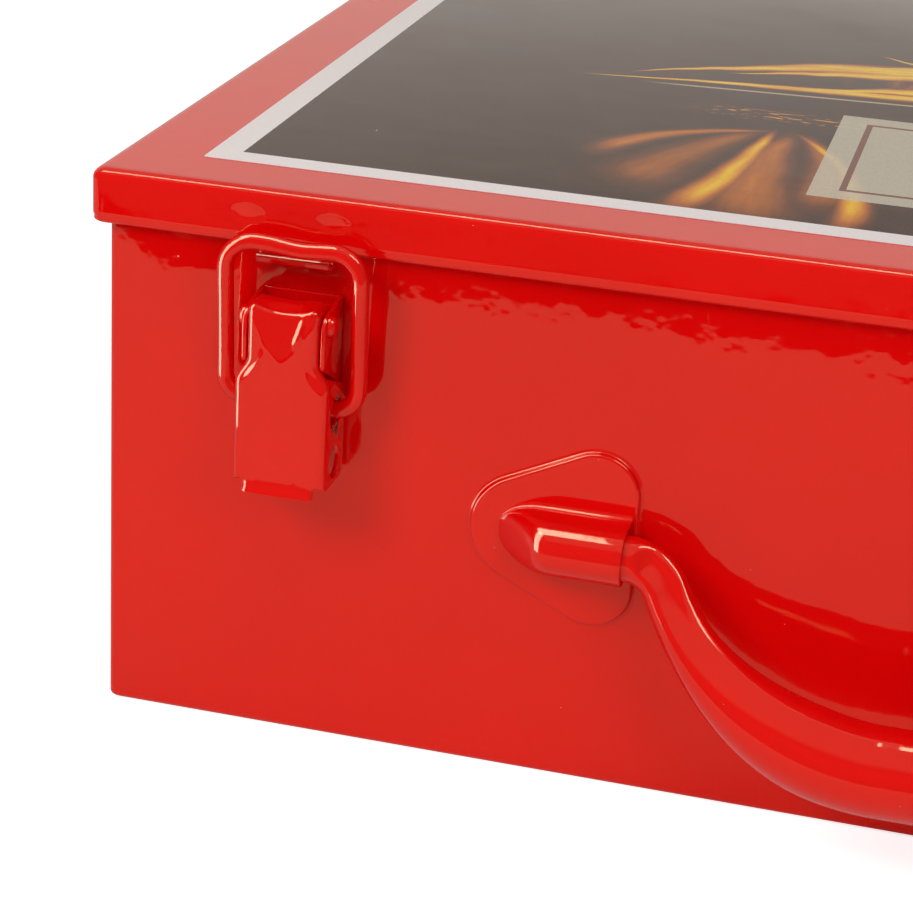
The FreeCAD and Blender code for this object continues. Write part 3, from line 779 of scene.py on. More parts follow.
def make_body(material):
    """Folded tray whose rim is turned in and pressed flat."""
    bend, inner_bend, fold = 1.5, 0.9, 1.7
    roll = fold / 2
    outer = [(6.0, 0.0, 0.5), (2.4, 0.0, 0.5)]
    outer += [(bend - x, bend - z, bend) for x, z in arc((0, 0), bend, 90, 0, 6)]
    walls = [(0.0, z, bend) for z in (4, 12, 30, 55, 80, 98, 108, 114, RIM - 1.2)]
    rim = [(roll - x, RIM - roll + z, bend) for x, z in arc((0, 0), roll, 0, 180, 8)]
    inside = [
        (fold, RIM - 7.4, inner_bend),
        (fold - 0.15, RIM - 8.0, inner_bend),
        (SHEET + 0.15, RIM - 8.1, inner_bend),
        (SHEET, RIM - 8.4, inner_bend),
        (SHEET, 60.0, inner_bend),
        (SHEET, SHEET + 2.0, inner_bend),
        (SHEET + 0.3, SHEET + 0.4, inner_bend),
        (SHEET + 1.2, SHEET, inner_bend),
        (SHEET + 5.0, SHEET, 0.5),
    ]

    def dent(point, normal, inset):
        flat = ease(1.0, 14.0, point.z) * ease(RIM - 4.0, RIM - 16.0, point.z)
        return flat * sheet_bow(point, normal, 0.05, 3.0) if inset <= SHEET + 0.1 else 0.0

    stations = straight_stations(HALF_WIDTH - bend, (), 0, 10.0, 10.0)
    shape = tray(HALF_WIDTH, HALF_DEPTH, outer + walls + rim + inside, stations, dent)
    piece = new_piece("case_body", shape, "case", material, "body_shell")
    smooth(piece, 40)


WELD_PLACES = (152.0, 169.6)
WELD_HEIGHT = 114.9
WELD_HALF_WIDTH, WELD_HALF_HEIGHT = 3.1, 1.6


def make_lid(material):
    """Folded tray with a hem along its skirt, and weld marks beside each latch."""
    bend = 2.1
    hem, hem_high, roll = 2.4, 3.6, 1.25
    top = [(8.0, LID_TOP, 0.5), (3.2, LID_TOP, 1.2)]
    fold = [(bend - x, LID_TOP - bend + z, bend) for x, z in arc((0, 0), bend, 90, 0, 8)]
    face_high, face_low = LID_TOP - bend - 0.3, SKIRT_FOOT + 2.1
    rows = 18
    face = [
        (0.0, face_high + (face_low - face_high) * i / rows, bend) for i in range(rows + 1)
    ]
    hem_side = [(0.06, SKIRT_FOOT + 1.75, bend), (0.18, SKIRT_FOOT + 1.4, bend)]
    hem_roll = [
        (roll - x + 0.02, SKIRT_FOOT + roll - z, bend) for x, z in arc((0, 0), roll, 25, 155, 8)
    ]
    inside = [
        (hem, SKIRT_FOOT + roll + 0.2, 0.6),
        (hem, SKIRT_FOOT + hem_high - 0.3, 0.6),
        (hem - 0.3, SKIRT_FOOT + hem_high, 0.8),
        (SHEET + 0.1, SKIRT_FOOT + hem_high, 1.2),
        (SHEET, SKIRT_FOOT + hem_high + 0.2, 1.3),
        (SHEET, LID_TOP - SHEET - 1.2, 1.3),
        (SHEET + 0.35, LID_TOP - SHEET - 0.35, 1.3),
        (SHEET + 1.2, LID_TOP - SHEET, 1.0),
        (SHEET + 6.0, LID_TOP - SHEET, 0.5),
    ]

    def dent(point, normal, inset):
        """Faint bow, and the two weld marks beside each latch."""
        if inset > 0.01:
            return 0.0
        depth = sheet_bow(point, normal, 0.03, 8.0) * ease(face_low, face_low + 3, point.z)
        depth *= ease(face_high, face_high - 3, point.z)
        if normal.y > -0.9:
            return depth
        for place in WELD_PLACES:
            dx = (abs(point.x) - place) / WELD_HALF_WIDTH
            dz = (point.z - WELD_HEIGHT) / WELD_HALF_HEIGHT
            reach = math.hypot(dx, dz)
            if reach < 1.15:
                tilt = 0.1 + 0.06 * (WELD_HEIGHT + WELD_HALF_HEIGHT - point.z)
                depth += tilt * ease(1.15, 0.9, reach)
        return depth

    stations = straight_stations(LID_HALF_WIDTH - bend, (-LATCH_X, LATCH_X), 16.0, 12.0, 0.45)
    shape = tray(
        LID_HALF_WIDTH, LID_HALF_DEPTH, top + fold + face + hem_side + hem_roll + inside,
        stations, dent,
    )
    piece = new_piece("case_lid", shape, "lid", material, "lid_shell")
    smooth(piece, 40)


def make_label(material):
    """Printed film on the lid."""
    corner = 0.4
    outline = rounded_corners(
        [(x, y, corner) for x, y in (
            (LABEL_LOW.x, LABEL_LOW.y), (LABEL_HIGH.x, LABEL_LOW.y),
            (LABEL_HIGH.x, LABEL_HIGH.y), (LABEL_LOW.x, LABEL_HIGH.y))],
        steps=5,
    )
    shape = prism(
        outline,
        lambda p: Vector((p[0], p[1], LABEL_LOW.z)),
        lambda p: Vector((p[0], p[1], LABEL_HIGH.z)),
    )
    piece = new_piece("label_film", shape, "lid", material, "lid_label")
    bevel(piece, 0.06, 2)
    smooth(piece)


# ---------------------------------------------------------------- latches


def make_lever(side, sign, material):
    """Pressed lever: one sheet with a dished neck, sloping shoulders and a turned finger lip."""
    reach, wall_gap = 13.8, 1.2
    foot, flange_foot = 62.6, 61.9
    shoulder_low, shoulder_high = 83.4, 88.8
    top, neck_back, top_back = 99.8, 4.6, 7.6
    wide, narrow, lip_half = 9.8, 7.35, 7.5
    slope_low, slope_high, slope_near, slope_far = 81.5, 85.8, 2.0, 12.0
    round_over, top_round = 1.5, 1.1
    lip_drop, columns = 2.6, 36

    def half_at(z):
        shoulder = ease(shoulder_high, shoulder_low, z)
        return narrow + (wide - narrow) * shoulder

    def face_at(share, z):
        """How far out the front face stands; share runs from -1 to 1 across it."""
        crown = 0.3 * (1 - share * share) - 0.3
        side_on = math.sqrt(share * share + 0.05) - 0.22
        far_down = (top - z) / (12.2 * (1 - 0.88 * side_on))
        hollow = max(0.0, 1 - min(1.0, far_down) ** 2) ** 2 * (1 - 0.75 * share * share)
        ripple = 0.1 * math.exp(-(((share - 0.45) / 0.3) ** 2) - ((z - top + 6.0) / 2.4) ** 2)
        press = 0.12 * math.exp(-((share / 0.6) ** 4) - ((z - foot - 4.0) / 1.6) ** 4)
        flute = 0.05 * math.exp(-(((abs(share) - 0.62) / 0.16) ** 2)) * ease(64.0, 72.0, z)
        shoulder = 0.3 * math.exp(-(((abs(share) - 1.0) / 0.13) ** 2) - ((z - 85.6) / 1.7) ** 2)
        along = ease(top - 8.5, top - 5.5, z) * ease(top - 0.5, top - 2.4, z)
        line = -0.8 + 0.045 * (top - z)
        crest = 0.36 * along * math.exp(-(((share - line) / 0.11) ** 2))
        along = ease(82.8, 85.0, z) * ease(91.0, 88.6, z)
        crest += 0.14 * along * math.exp(-(((share - 0.84 + 0.03 * (z - 86)) / 0.08) ** 2))
        return reach + crown + crest - 0.72 * hollow - ripple - press - flute - shoulder

    def sag(share):
        """The top edge dips in the middle, where the neck was dished."""
        return 1.15 * (1 - share * share)

    # The face, from the fold over the finger lip up to the top edge.
    fold = foot + 0.2
    heights = [fold + (shoulder_low - fold) * i / 22 for i in range(22)]
    heights += [shoulder_low + (shoulder_high - shoulder_low) * i / 20 for i in range(20)]
    heights += [shoulder_high + (top - top_round - shoulder_high) * i / 26 for i in range(27)]
    rows = len(heights)
    points, faces = [], []
    for z in heights:
        half = half_at(z) - round_over
        drop = ease(shoulder_high, top - top_round, z)
        for column in range(columns + 1):
            share = 2 * column / columns - 1
            points.append((half * share, face_at(share, z), z - sag(share) * drop))
    faces += grid_faces(rows, columns + 1)

    # The skin goes on round the sides and over the top, then back towards the wall.
    def back_at(z, row):
        if row == rows - 1:
            return top_back
        if z > shoulder_high - 1.0:
            return neck_back
        sloping = slope_near + (z - slope_low) * (slope_far - slope_near) / (slope_high - slope_low)
        return min(reach - round_over - 0.3, max(wall_gap, sloping))

    corner = 6
    turns = [math.pi / 2 * i / corner for i in range(1, corner)]
    path = [(row, 0, (-1.0, 0.0)) for row in range(rows)]
    path += [(rows - 1, 0, (-math.cos(a), math.sin(a))) for a in turns]
    path += [(rows - 1, column, (0.0, 1.0)) for column in range(0, columns + 1)]
    path += [(rows - 1, columns, (math.sin(a), math.cos(a))) for a in turns]
    path += [(row, columns, (1.0, 0.0)) for row in range(rows - 1, -1, -1)]
    bend_steps, wall_steps = 7, 6
    loops = [[row * (columns + 1) + column for row, column, _ in path]]
    for level in range(1, bend_steps + wall_steps + 1):
        loop = []
        for (row, _, (out_x, out_z)), start in zip(path, loops[0]):
            x0, v0, z0 = points[start]
            radius = round_over + (top_round - round_over) * out_z
            turn = math.pi / 2 * min(1.0, level / bend_steps)
            outward = radius * math.sin(turn)
            depth = radius * (1 - math.cos(turn))
            rest = (v0 - radius) - back_at(z0, row if out_z > 0.3 else -1)
            depth += max(0.0, rest) * max(0, level - bend_steps) / wall_steps
            level_off = sag(x0 / narrow) * out_z * ease(0.5, 4.5, depth)
            loop.append(len(points))
            points.append((x0 + out_x * outward, v0 - depth, z0 + out_z * outward + level_off))
        loops.append(loop)
    for before, after in zip(loops, loops[1:]):
        faces += bridge(before, after)
    # The flanges reach a little below the fold.
    for end in (0, len(path) - 1):
        chain = [loop[end] for loop in loops]
        lower = []
        for number, index in enumerate(chain):
            x, v, z = points[index]
            share = ease(0, bend_steps, number)
            near_wall = ease(wall_gap + 1.6, wall_gap, v)
            lower.append(len(points))
            points.append((x, v, z - (fold - flange_foot) * share + 0.7 * near_wall))
        faces += bridge(chain, lower)
    # The finger lip: a bowed fold, then a strip that turns down and outwards.
    steps = 10
    lip_rows = [list(range(columns + 1))]
    for step in range(1, steps + 1):
        share_down = step / steps
        loop = []
        for column in range(columns + 1):
            share = 2 * column / columns - 1
            x0, v0, z0 = points[column]
            half = wide - round_over + (lip_half - wide + round_over) * ease(0, 0.25, share_down)
            bow = 0.75 * (1 - share * share) * (1 - share_down)
            down = lip_drop * share_down
            out = 0.95 * ease(0.0, 1.0, share_down) * share_down ** 0.5
            end_roll = 0.5 * ease(0.9, 1.0, abs(share))
            loop.append(len(points))
            points.append((half * share, v0 + out - end_roll, z0 - down + bow * 0.5))
        lip_rows.append(loop)
    for before, after in zip(lip_rows, lip_rows[1:]):
        faces += bridge(before, after)

    centre = sign * LATCH_X
    placed = [on_front(centre + sign * x, v, z) for x, v, z in points]
    name = f"latch_lever_{side}"
    piece = new_piece(
        f"{name}.pressed", (placed, faces), f"lever_{side}", material, name
    )
    outward_if_needed(piece)
    thicken(piece, LATCH_SHEET)
    pivot = joint_place(f"lever_{side}_turn")
    far = 15
    bore = [(-far, PIN_BORE), (far, PIN_BORE)]
    bore = lathe(bore, (centre, pivot.y, pivot.z), (1, 0, 0), 28)
    openings = [((7.3, 76.8), 3.5, 3.6), ((7.0, 66.6), 3.5, 3.5)]
    tools = [mesh_object("tool", bore)]
    for (v, z), wide_by, tall_by in openings:
        ring = [
            (v + wide_by * math.cos(a), z + tall_by * math.sin(a))
            for a in (math.tau * i / 40 for i in range(40))
        ]
        tools.append(mesh_object("tool", across(ring, centre - far, centre + far)))
    carve(piece, *tools)
    bevel(piece, 0.2, 2, 50)
    smooth(piece, 40)


def outward_if_needed(piece):
    """An open sheet's faces may all turn inwards; the front face has to turn outwards."""
    total = sum((face.normal.y * face.area for face in piece.data.polygons), 0.0)
    if total > 0:
        piece.data.flip_normals()


def make_bail(side, sign, material):
    """Round wire loop with a slight wave in its top bar."""
    centre = sign * LATCH_X
    radius = 1.75
    half = BAIL_HIGH.x - LATCH_X - radius
    foot_v, foot_z = joint_on_front(f"bail_{side}_turn")
    top_v, top_z = -HALF_DEPTH - BAIL_LOW.y - radius, BAIL_HIGH.z - radius + 0.4
    foot_end, foot_bend, top_bend = 6.8, 4.8, 6.1
    side_view = [(foot_end + i * (half - foot_bend - foot_end) / 4, 0.0) for i in range(4)]
    side_view += arc((half - foot_bend, foot_bend), foot_bend, -90, 0, 12)
    height = top_z - foot_z
    low, high = foot_bend, height - top_bend
    side_view += [(half, low + (high - low) * i / 12) for i in range(1, 12)]
    side_view += arc((half - top_bend, height - top_bend), top_bend, 0, 90, 14)
    side_view += [((half - top_bend) * (1 - i / 10), height) for i in range(1, 10)]
    loop = side_view + [(0.0, height)] + [(-x, up) for x, up in reversed(side_view)]
    stations = []
    for number, (x, up) in enumerate(loop):
        lift = ease(foot_bend, height - 2.0, up)
        wave = 0.34 * math.sin(2.2 * math.pi * (x / half) * 0.5 + 0.6)
        wave *= ease(height - 3, height, up)
        dip = -1.5 * ease(height - 1.5, height, up) * math.exp(-(((x + 1.0) / 5.0) ** 2))
        v = foot_v + (top_v - foot_v) * lift
        end = min(number, len(loop) - 1 - number)
        width = radius * (0.72, 0.93, 1.0)[min(end, 2)]
        place = on_front(centre + sign * x, v, foot_z + up + wave * 0.5 + dip * 0.5)
        stations.append((place, width, None))
    name = f"latch_bail_{side}"
    shape = tube(stations, 28)
    piece = new_piece(f"{name}.wire", shape, f"bail_{side}", material, name)
    smooth(piece, 50)


def make_base(side, sign, material):
    """Channel on the wall: a back plate, and two ears with rolled edges."""
    centre = sign * LATCH_X
    half, sheet = 8.6, LATCH_SHEET
    head, reach = BASE_HIGH.z, -HALF_DEPTH - BASE_LOW.y
    ear = rounded_corners([
        (0.0, 80.6, 0.0), (reach, 87.6, 1.2), (reach, head - 1.6, 3.4), (2.2, head, 2.0),
        (0.0, head, 0.0),
    ])
    parts = [
        across(ear, centre + hand * (half - sheet), centre + hand * half) for hand in (-1, 1)
    ]
    parts.append(prism(
        plate_outline(half, 62.0, head, 2.0, 0.6),
        lambda p: on_front(centre + p[0], 0.0, p[1]),
        lambda p: on_front(centre + p[0], sheet, p[1]),
    ))
    name = f"latch_base_{side}"
    piece = new_piece(f"{name}.channel", joined(*parts), "case", material, name)
    bevel(piece, 0.32, 3)
    smooth(piece)


def make_pin(side, material):
    """Pivot pin with domed, slightly flattened heads."""
    place = joint_place(f"lever_{side}_turn")
    half, head, rise, shank = 8.62, 2.2, 1.7, 1.5
    dome = [
        (half + rise * math.sin(math.radians(a)), head * math.cos(math.radians(a)) ** 0.8)
        for a in range(0, 90, 9)
    ]
    outer = [(half, shank), (half, head * 0.98), *dome[1:], (half + rise, 0.0)]
    profile = [(-along, radius) for along, radius in reversed(outer)] + outer
    name, shape = f"latch_pin_{side}", lathe(profile, place, (1, 0, 0))
    piece = new_piece(f"{name}.turned", shape, "case", material, name)
    smooth(piece, 45)


def make_catch(side, sign, material):
    """Strip behind the skirt, bent outwards below it into a lip with a rolled end."""
    centre = sign * LATCH_X
    half, offset, sheet = 7.7, sign * 1.05, 1.15
    strip_v, bend_z, bend = 1.62, 107.2, 1.5
    tip_v, tip_z, steps = 4.95, 107.3, 4
    middle = [(strip_v, CATCH_HIGH.z), (strip_v, bend_z)]
    middle += [(strip_v + bend - x, bend_z - z) for x, z in arc((0, 0), bend, 8, 125, 8)]
    start_v, start_z = middle[-1]
    middle += [
        (start_v + (tip_v - start_v) * i / steps, start_z + (tip_z - start_z) * i / steps)
        for i in range(1, steps + 1)
    ]
    left, right = [], []
    for i, (v, z) in enumerate(middle):
        before, after = middle[max(i - 1, 0)], middle[min(i + 1, len(middle) - 1)]
        ahead = Vector((after[0] - before[0], after[1] - before[1])).normalized()
        left.append((v - ahead.y * sheet / 2, z + ahead.x * sheet / 2))
        right.append((v + ahead.y * sheet / 2, z - ahead.x * sheet / 2))
    shape = across(left + right[::-1], centre + offset - half, centre + offset + half)
    name = f"latch_catch_{side}"
    piece = new_piece(f"{name}.lip", shape, "lid", material, name)
    bevel(piece, 0.36, 3)
    smooth(piece)


# ---------------------------------------------------------------- handle


def offset_rings(outline, steps):
    """Rings round a smooth outline; each step is (distance outwards, height)."""
    count = len(outline)
    rings = []
    for out, height in steps:
        ring_points = []
        for i, point in enumerate(outline):
            before, after = Vector(outline[i - 1]), Vector(outline[(i + 1) % count])
            along = (after - before).normalized()
            normal = Vector((along.y, -along.x))
            place = Vector(point) + normal * out
            ring_points.append((place.x, place.y, height))
        rings.append(ring_points)
    return rings


def anticlockwise(outline):
    """The outline, turned round if it runs clockwise."""
    area = sum(
        a[0] * b[1] - b[0] * a[1] for a, b in zip(outline, outline[1:] + outline[:1])
    )
    return outline if area > 0 else outline[::-1]


def make_bracket(side, sign, material):
    """Three-cornered pressed plate with a rolled rim, and a hull-nosed socket on it."""
    axis_v, axis_z = joint_on_front("handle_swing")
    edge, point, half_height = 87.0, 136.1, 24.0
    thick, radius = 1.3, 5.8
    corners = [
        (point, axis_z, 11.6),
        (edge, axis_z + half_height, 8.7),
        (edge, axis_z - half_height, 8.7),
    ]
    outline = anticlockwise(rounded_corners(corners, steps=18))
    # Rim: paint gathered at the foot, then the sheet's rounded edge.
    rim = [(-1.0, 0.0), (0.75, 0.0), (0.42, 0.07), (0.16, 0.24), (0.03, 0.5), (0.0, 0.72)]
    rim += [(-0.62 + x, 0.72 + z) for x, z in arc((0, 0), 0.6, 12, 90, 6)]
    rim += [(-1.5, thick)]
    rings = offset_rings(outline, rim)
    count = len(outline)
    points = [on_front(sign * x, v, z) for ring_points in rings for x, z, v in ring_points]
    shape = points, grid_faces(len(rings), count, True) + end_caps(points, count)
    name = f"handle_bracket_{side}"
    piece = new_piece(f"{name}.pressed", shape, "case", material, name)
    smooth(piece, 50)

    # Socket: a fillet off the plate, upright sides and a half-round crown, and a nose that
    # slopes down to the plate like a hull.
    fillet, foot = 1.3, thick - 0.05
    flank = [(radius + fillet - x, foot + fillet - z) for x, z in arc((0, 0), fillet, 90, 0, 7)]
    flank += [(radius, thick + (axis_v - thick) * share) for share in (0.45, 0.7, 0.88)]
    crown = [(out, axis_v + up) for out, up in arc((0, 0), radius, 0, 180, 32)]
    profile = flank + crown + [(-out, v) for out, v in reversed(flank)]
    slope_start, tip, base_start = 102.6, 115.4, 107.0
    stations = [SOCKET_MOUTH + (slope_start - SOCKET_MOUTH) * i / 12 for i in range(12)]
    stations += [slope_start + (tip - slope_start) * i / 34 for i in range(34)]
    points, blunt = [], 0.3
    for x in stations:
        along = max(0.0, (x - slope_start) / (tip - slope_start))
        if along < blunt:
            fallen = along * along / (2 * blunt)
        else:
            fallen = along - blunt / 2
        fallen /= 1 - blunt / 2
        height = 1 - fallen ** 1.08
        taper = max(0.0, (x - base_start) / (tip - base_start))
        width = math.sqrt(max(0.0, 1 - taper ** 2.1))
        for out, v in profile:
            lifted = foot + (v - foot) * height
            points.append(on_front(sign * x, lifted, axis_z + out * max(width, 0.02)))
    shape = points, grid_faces(len(stations), len(profile))
    name = f"handle_socket_{side}.pressed"
    socket = new_piece(name, shape, "case", material)
    outward_if_needed(socket)
    thicken(socket, 0.85)
    bevel(socket, 0.25, 2, 60)
    smooth(socket, 50)


def handle_path():
    """Half of the handle's middle line: (x, drop, slope, radius, length from the socket)."""
    bend, bow, turn = 9.8, 52.6, math.radians(62.0)
    mouth, thin, thick = SOCKET_MOUTH, 4.7, 9.0
    start = mouth - 0.5
    grip_half = start - (bend + bow) * math.sin(turn)
    drop = (bend + bow) * (1 - math.cos(turn))
    path = [(mouth + deep, 0.0, 0.0) for deep in (11.9, 8, 4, 1)]
    for i in range(26):
        angle = turn * i / 26
        path.append((start - bend * math.sin(angle), bend * (1 - math.cos(angle)), angle))
    for i in range(51):
        angle = turn * (1 - i / 50)
        path.append((grip_half + bow * math.sin(angle), drop - bow * (1 - math.cos(angle)), angle))
    path += [(grip_half * (1 - i / 14), drop, 0.0) for i in range(1, 15)]
    stations = []
    length, before = -12.0, path[0]
    for x, down, angle in path:
        length += math.hypot(x - before[0], down - before[1])
        before = (x, down, angle)
        swell = ease(11.5, 57.0, length)
        stations.append((x, down, angle, thin + (thick - thin) * swell, length))
    return stations


def make_handle(material):
    """Bowed tube, pinched where it leaves the sockets and full at the grip."""
    axis_v, axis_z = joint_on_front("handle_swing")
    tilt = math.radians(26.7)
    hang = Vector((0, -math.sin(tilt), -math.cos(tilt)))
    front = Vector((0, -math.cos(tilt), math.sin(tilt)))
    half = handle_path()
    whole = [(-x, down, -angle, radius, s) for x, down, angle, radius, s in half]
    whole += reversed(half[:-1])
    stations = []
    for x, down, angle, radius, length in whole:
        centre = on_front(x, axis_v, axis_z) + hang * down
        # Directions across the tube: inner faces up and towards the middle of the bow.
        inner = hang * -math.cos(angle) - Vector((math.sin(angle), 0, 0))
        flat = 1.0 - 0.3 * ease(0.8, 5.0, length) * ease(50.0, 6.0, length)
        groove = 0.07 * ease(2.0, 6.0, length) * ease(30.0, 8.0, length)
        facing_out = (front + inner * 0.2).normalized()

        def pinch(spoke, flat=flat, groove=groove, facing_out=facing_out, blend=0.16):
            """The front is pressed flat, with a tight ridge on each side and a faint groove."""
            facing = spoke.dot(facing_out)
            cut = flat / max(facing, 0.05)
            share = min(1.0, max(0.0, 0.5 + 0.5 * (1.0 - cut) / blend))
            rounded = (1 - share) + share * cut - blend * share * (1 - share)
            return rounded - groove * ease(flat + 0.02, 1.0, facing)

        stations.append((centre, radius, pinch))
    shape = tube(stations, 64)
    piece = new_piece("carry_handle.tube", shape, "handle", material, "handle_bar")
    smooth(piece, 60)


# ---------------------------------------------------------------- hinges


def make_hinge(side, paint, bare):
    """Butt hinge at the back: body leaf, lid leaf and pin."""
    axis = joint_place("lid_hinge")
    low, high = node_box(f"hinge_leaf_body_{side}")
    centre = (low.x + high.x) / 2
    half, gap_half, knuckle_half = (high.x - low.x) / 2, 7.25, 7.0
    radius, body_bore, pin_radius, chamfer = 3.0, 1.5, 1.48, 0.3
    wall, skirt = HALF_DEPTH, LID_HALF_DEPTH
    web_low, web_high = axis.z - radius, axis.z - radius + LEAF_SHEET

    def back_prism(outline, x_low, x_high):
        """A prism across the case from an outline of (y, z) points."""
        return prism(outline, lambda p: Vector((x_low, *p)), lambda p: Vector((x_high, *p)))

    def leaf_plate(outline, y):
        """A leaf's flat part, standing out from y."""
        return prism(
            outline,
            lambda p: Vector((centre + p[0], y, p[1])),
            lambda p: Vector((centre + p[0], y + LEAF_SHEET, p[1])),
        )

    def knuckle(x_low, x_high, bore):
        """A bored cylinder round the hinge's axis, chamfered at both ends."""
        outer = [(x_low, bore), (x_low, radius - chamfer), (x_low + chamfer, radius)]
        outer += [(x_high - chamfer, radius), (x_high, radius - chamfer), (x_high, bore)]
        points, faces = lathe(outer + [outer[0]], (0, axis.y, axis.z), (1, 0, 0), 36)
        return points, faces[:-2]

    parts = [leaf_plate(plate_outline(half, low.z, web_high, 4.0, 0.4), wall)]
    near = wall + 0.4
    web = [(near, web_low), (axis.y, web_low), (axis.y, web_high), (near, web_high)]
    for hand in (-1, 1):
        x_low, x_high = sorted((centre + hand * gap_half, centre + hand * half))
        parts += [back_prism(web, x_low, x_high), knuckle(x_low, x_high, body_bore)]
    name = f"hinge_leaf_body_{side}"
    body_leaf = new_piece(f"{name}.folded", joined(*parts), "case", paint, name)

    name = f"hinge_leaf_lid_{side}"
    lid_high = node_box(name)[1]
    flap_low = axis.z + radius + 1.0
    neck = [
        (skirt, axis.z),
        (skirt + LEAF_SHEET, axis.z + 1.0),
        (skirt + LEAF_SHEET, flap_low + 0.5),
        (skirt, flap_low + 0.5),
    ]
    ends = centre - knuckle_half, centre + knuckle_half
    parts = [
        leaf_plate(plate_outline(half, flap_low, lid_high.z, 0.6, 3.0), skirt),
        back_prism(neck, *ends),
        knuckle(*ends, PIN_BORE),
    ]
    lid_leaf = new_piece(f"{name}.folded", joined(*parts), "lid", paint, name)

    profile = [(-half, 1.0), (-half + 0.4, pin_radius), (half - 0.4, pin_radius), (half, 1.0)]
    name = f"hinge_pin_{side}"
    shape = lathe(profile, (centre, axis.y, axis.z), (1, 0, 0), 28)
    pin = new_piece(f"{name}.turned", shape, "case", bare, name)
    for piece in (body_leaf, lid_leaf):
        bevel(piece, 0.2, 2, 50)
        smooth(piece)
    smooth(pin)


# ---------------------------------------------------------------- stage, light and camera


STUDIO_FILL = 0.36
CEILING_GLOW = 0.66
BACKDROP_GLOW = 0.8
BACKDROP_TINT = (1.0, 0.92, 0.83)
DARK_GLOW = 0.2
FLOOR_GLOSS = 0.88
FLOOR_EDGE = 0.29
FLOOR_LIFT = 0.68
HIGHLIGHT_GLOW = 12.0
HIGHLIGHT_HEIGHT = 1.2
CAMERA_ANGLES = (-13.30, 22.39, 3.39)
CAMERA_PLACE = (-17.2, -606.5, 261.8)
CAMERA_LENS, CAMERA_SENSOR = 99.09, 36.0


def make_floor():
    """Pale floor. Glossy paint sees it end in front of the case, as a table's edge would."""
    graph = Graph("floor_paper")
    place = graph.place()
    _, y, _ = graph.split(place)
    rays = graph.node("LightPath").outputs
    edge = -(HALF_DEPTH * MM + FLOOR_EDGE)
    beyond = graph.step(y, edge + 0.002, edge - 0.004)
    fade = graph.step(y, edge - 0.03, edge - 0.06)
    dark = graph.product(beyond, rays["Is Glossy Ray"])
    white = graph.mix(graph.noise(place, 400.0), (0.86, 0.86, 0.86), (0.9, 0.9, 0.9))
    dimmed = graph.mix(rays["Is Glossy Ray"], white, (FLOOR_GLOSS,) * 3)
    paper = graph.node("BsdfDiffuse", {"Color": dimmed}).outputs[0]
    lift = graph.node("Emission", {"Strength": graph.product(rays["Is Camera Ray"], FLOOR_LIFT)})
    paper = graph.node("AddShader", {0: paper, 1: lift.outputs[0]}).outputs[0]
    dim = graph.math("MULTIPLY_ADD", fade, DARK_GLOW - 0.012, 0.012)
    shade = graph.node("Emission", {"Color": (1.0, 1.0, 1.0), "Strength": dim}).outputs[0]
    both = graph.node("MixShader", {0: dark, 1: paper, 2: shade}).outputs[0]
    out = graph.node("OutputMaterial")
    graph.links.new(both, out.inputs[0])
    half = 6.0
    mesh = bpy.data.meshes.new("floor")
    corners = [(-half, -half, 0), (half, -half, 0), (half, half, 0), (-half, half, 0)]
    mesh.from_pydata(corners, [], [[0, 1, 2, 3]])
    floor = bpy.data.objects.new("floor", mesh)
    bpy.context.scene.collection.objects.link(floor)
    mesh.materials.append(graph.material)


def make_world():
    """White studio. Glossy paint sees a bright backdrop and ceiling, and a dark band in front."""
    world = bpy.data.worlds.new("studio")
    bpy.context.scene.world = world
    graph = Graph("studio", world)
    direction = graph.node("TexCoord").outputs["Generated"]
    _, y, z = graph.split(direction)
    ceiling = graph.product(graph.step(z, 0.6, 0.76), CEILING_GLOW)
    behind = graph.product(graph.step(y, 0.0, 0.35), graph.step(z, 0.85, 0.5), BACKDROP_GLOW)
    sheen = graph.most(DARK_GLOW, graph.most(ceiling, behind))
    rays = graph.node("LightPath").outputs
    strength = graph.math(
        "MULTIPLY_ADD",
        rays["Is Glossy Ray"],
        graph.minus(sheen, STUDIO_FILL),
        STUDIO_FILL,
    )
    seen = graph.minus(1.06, strength)
    strength = graph.math("MULTIPLY_ADD", rays["Is Camera Ray"], seen, strength)
    warm = graph.product(rays["Is Glossy Ray"], graph.step(behind, 0.1, 0.5))
    tint = graph.mix(warm, (1.0, 1.0, 1.0), BACKDROP_TINT)
    shine = graph.node("Background", {0: tint, 1: strength}).outputs[0]
    out = graph.node("OutputWorld")
    graph.links.new(shine, out.inputs[0])


def pieces_named(*starts):
    """A collection of the pieces whose names start in one of these ways."""
    group = bpy.data.collections.new("_".join(starts))
    for piece in bpy.context.scene.objects:
        if piece.type == "MESH" and piece.name.startswith(starts):
            group.objects.link(piece)
    return group


def softbox(name, place, target, width, depth, radiance, seen_in=None):
    """Area light of a given brightness; it lights the paint, or shows in some pieces' gloss."""
    light = bpy.data.lights.new(name, "AREA")
    light.shape = "RECTANGLE"
    light.size, light.size_y = width, depth
    light.energy = radiance * math.pi * width * depth
    lamp = bpy.data.objects.new(name, light)
    lamp.location = place
    aim = Vector(target) - Vector(place)
    lamp.rotation_euler = aim.to_track_quat("-Z", "Y").to_euler()
    lamp.visible_glossy = seen_in is not None
    lamp.visible_diffuse = seen_in is None
    if seen_in is not None:
        lamp.light_linking.receiver_collection = seen_in
    lamp.visible_camera = False
    bpy.context.scene.collection.objects.link(lamp)


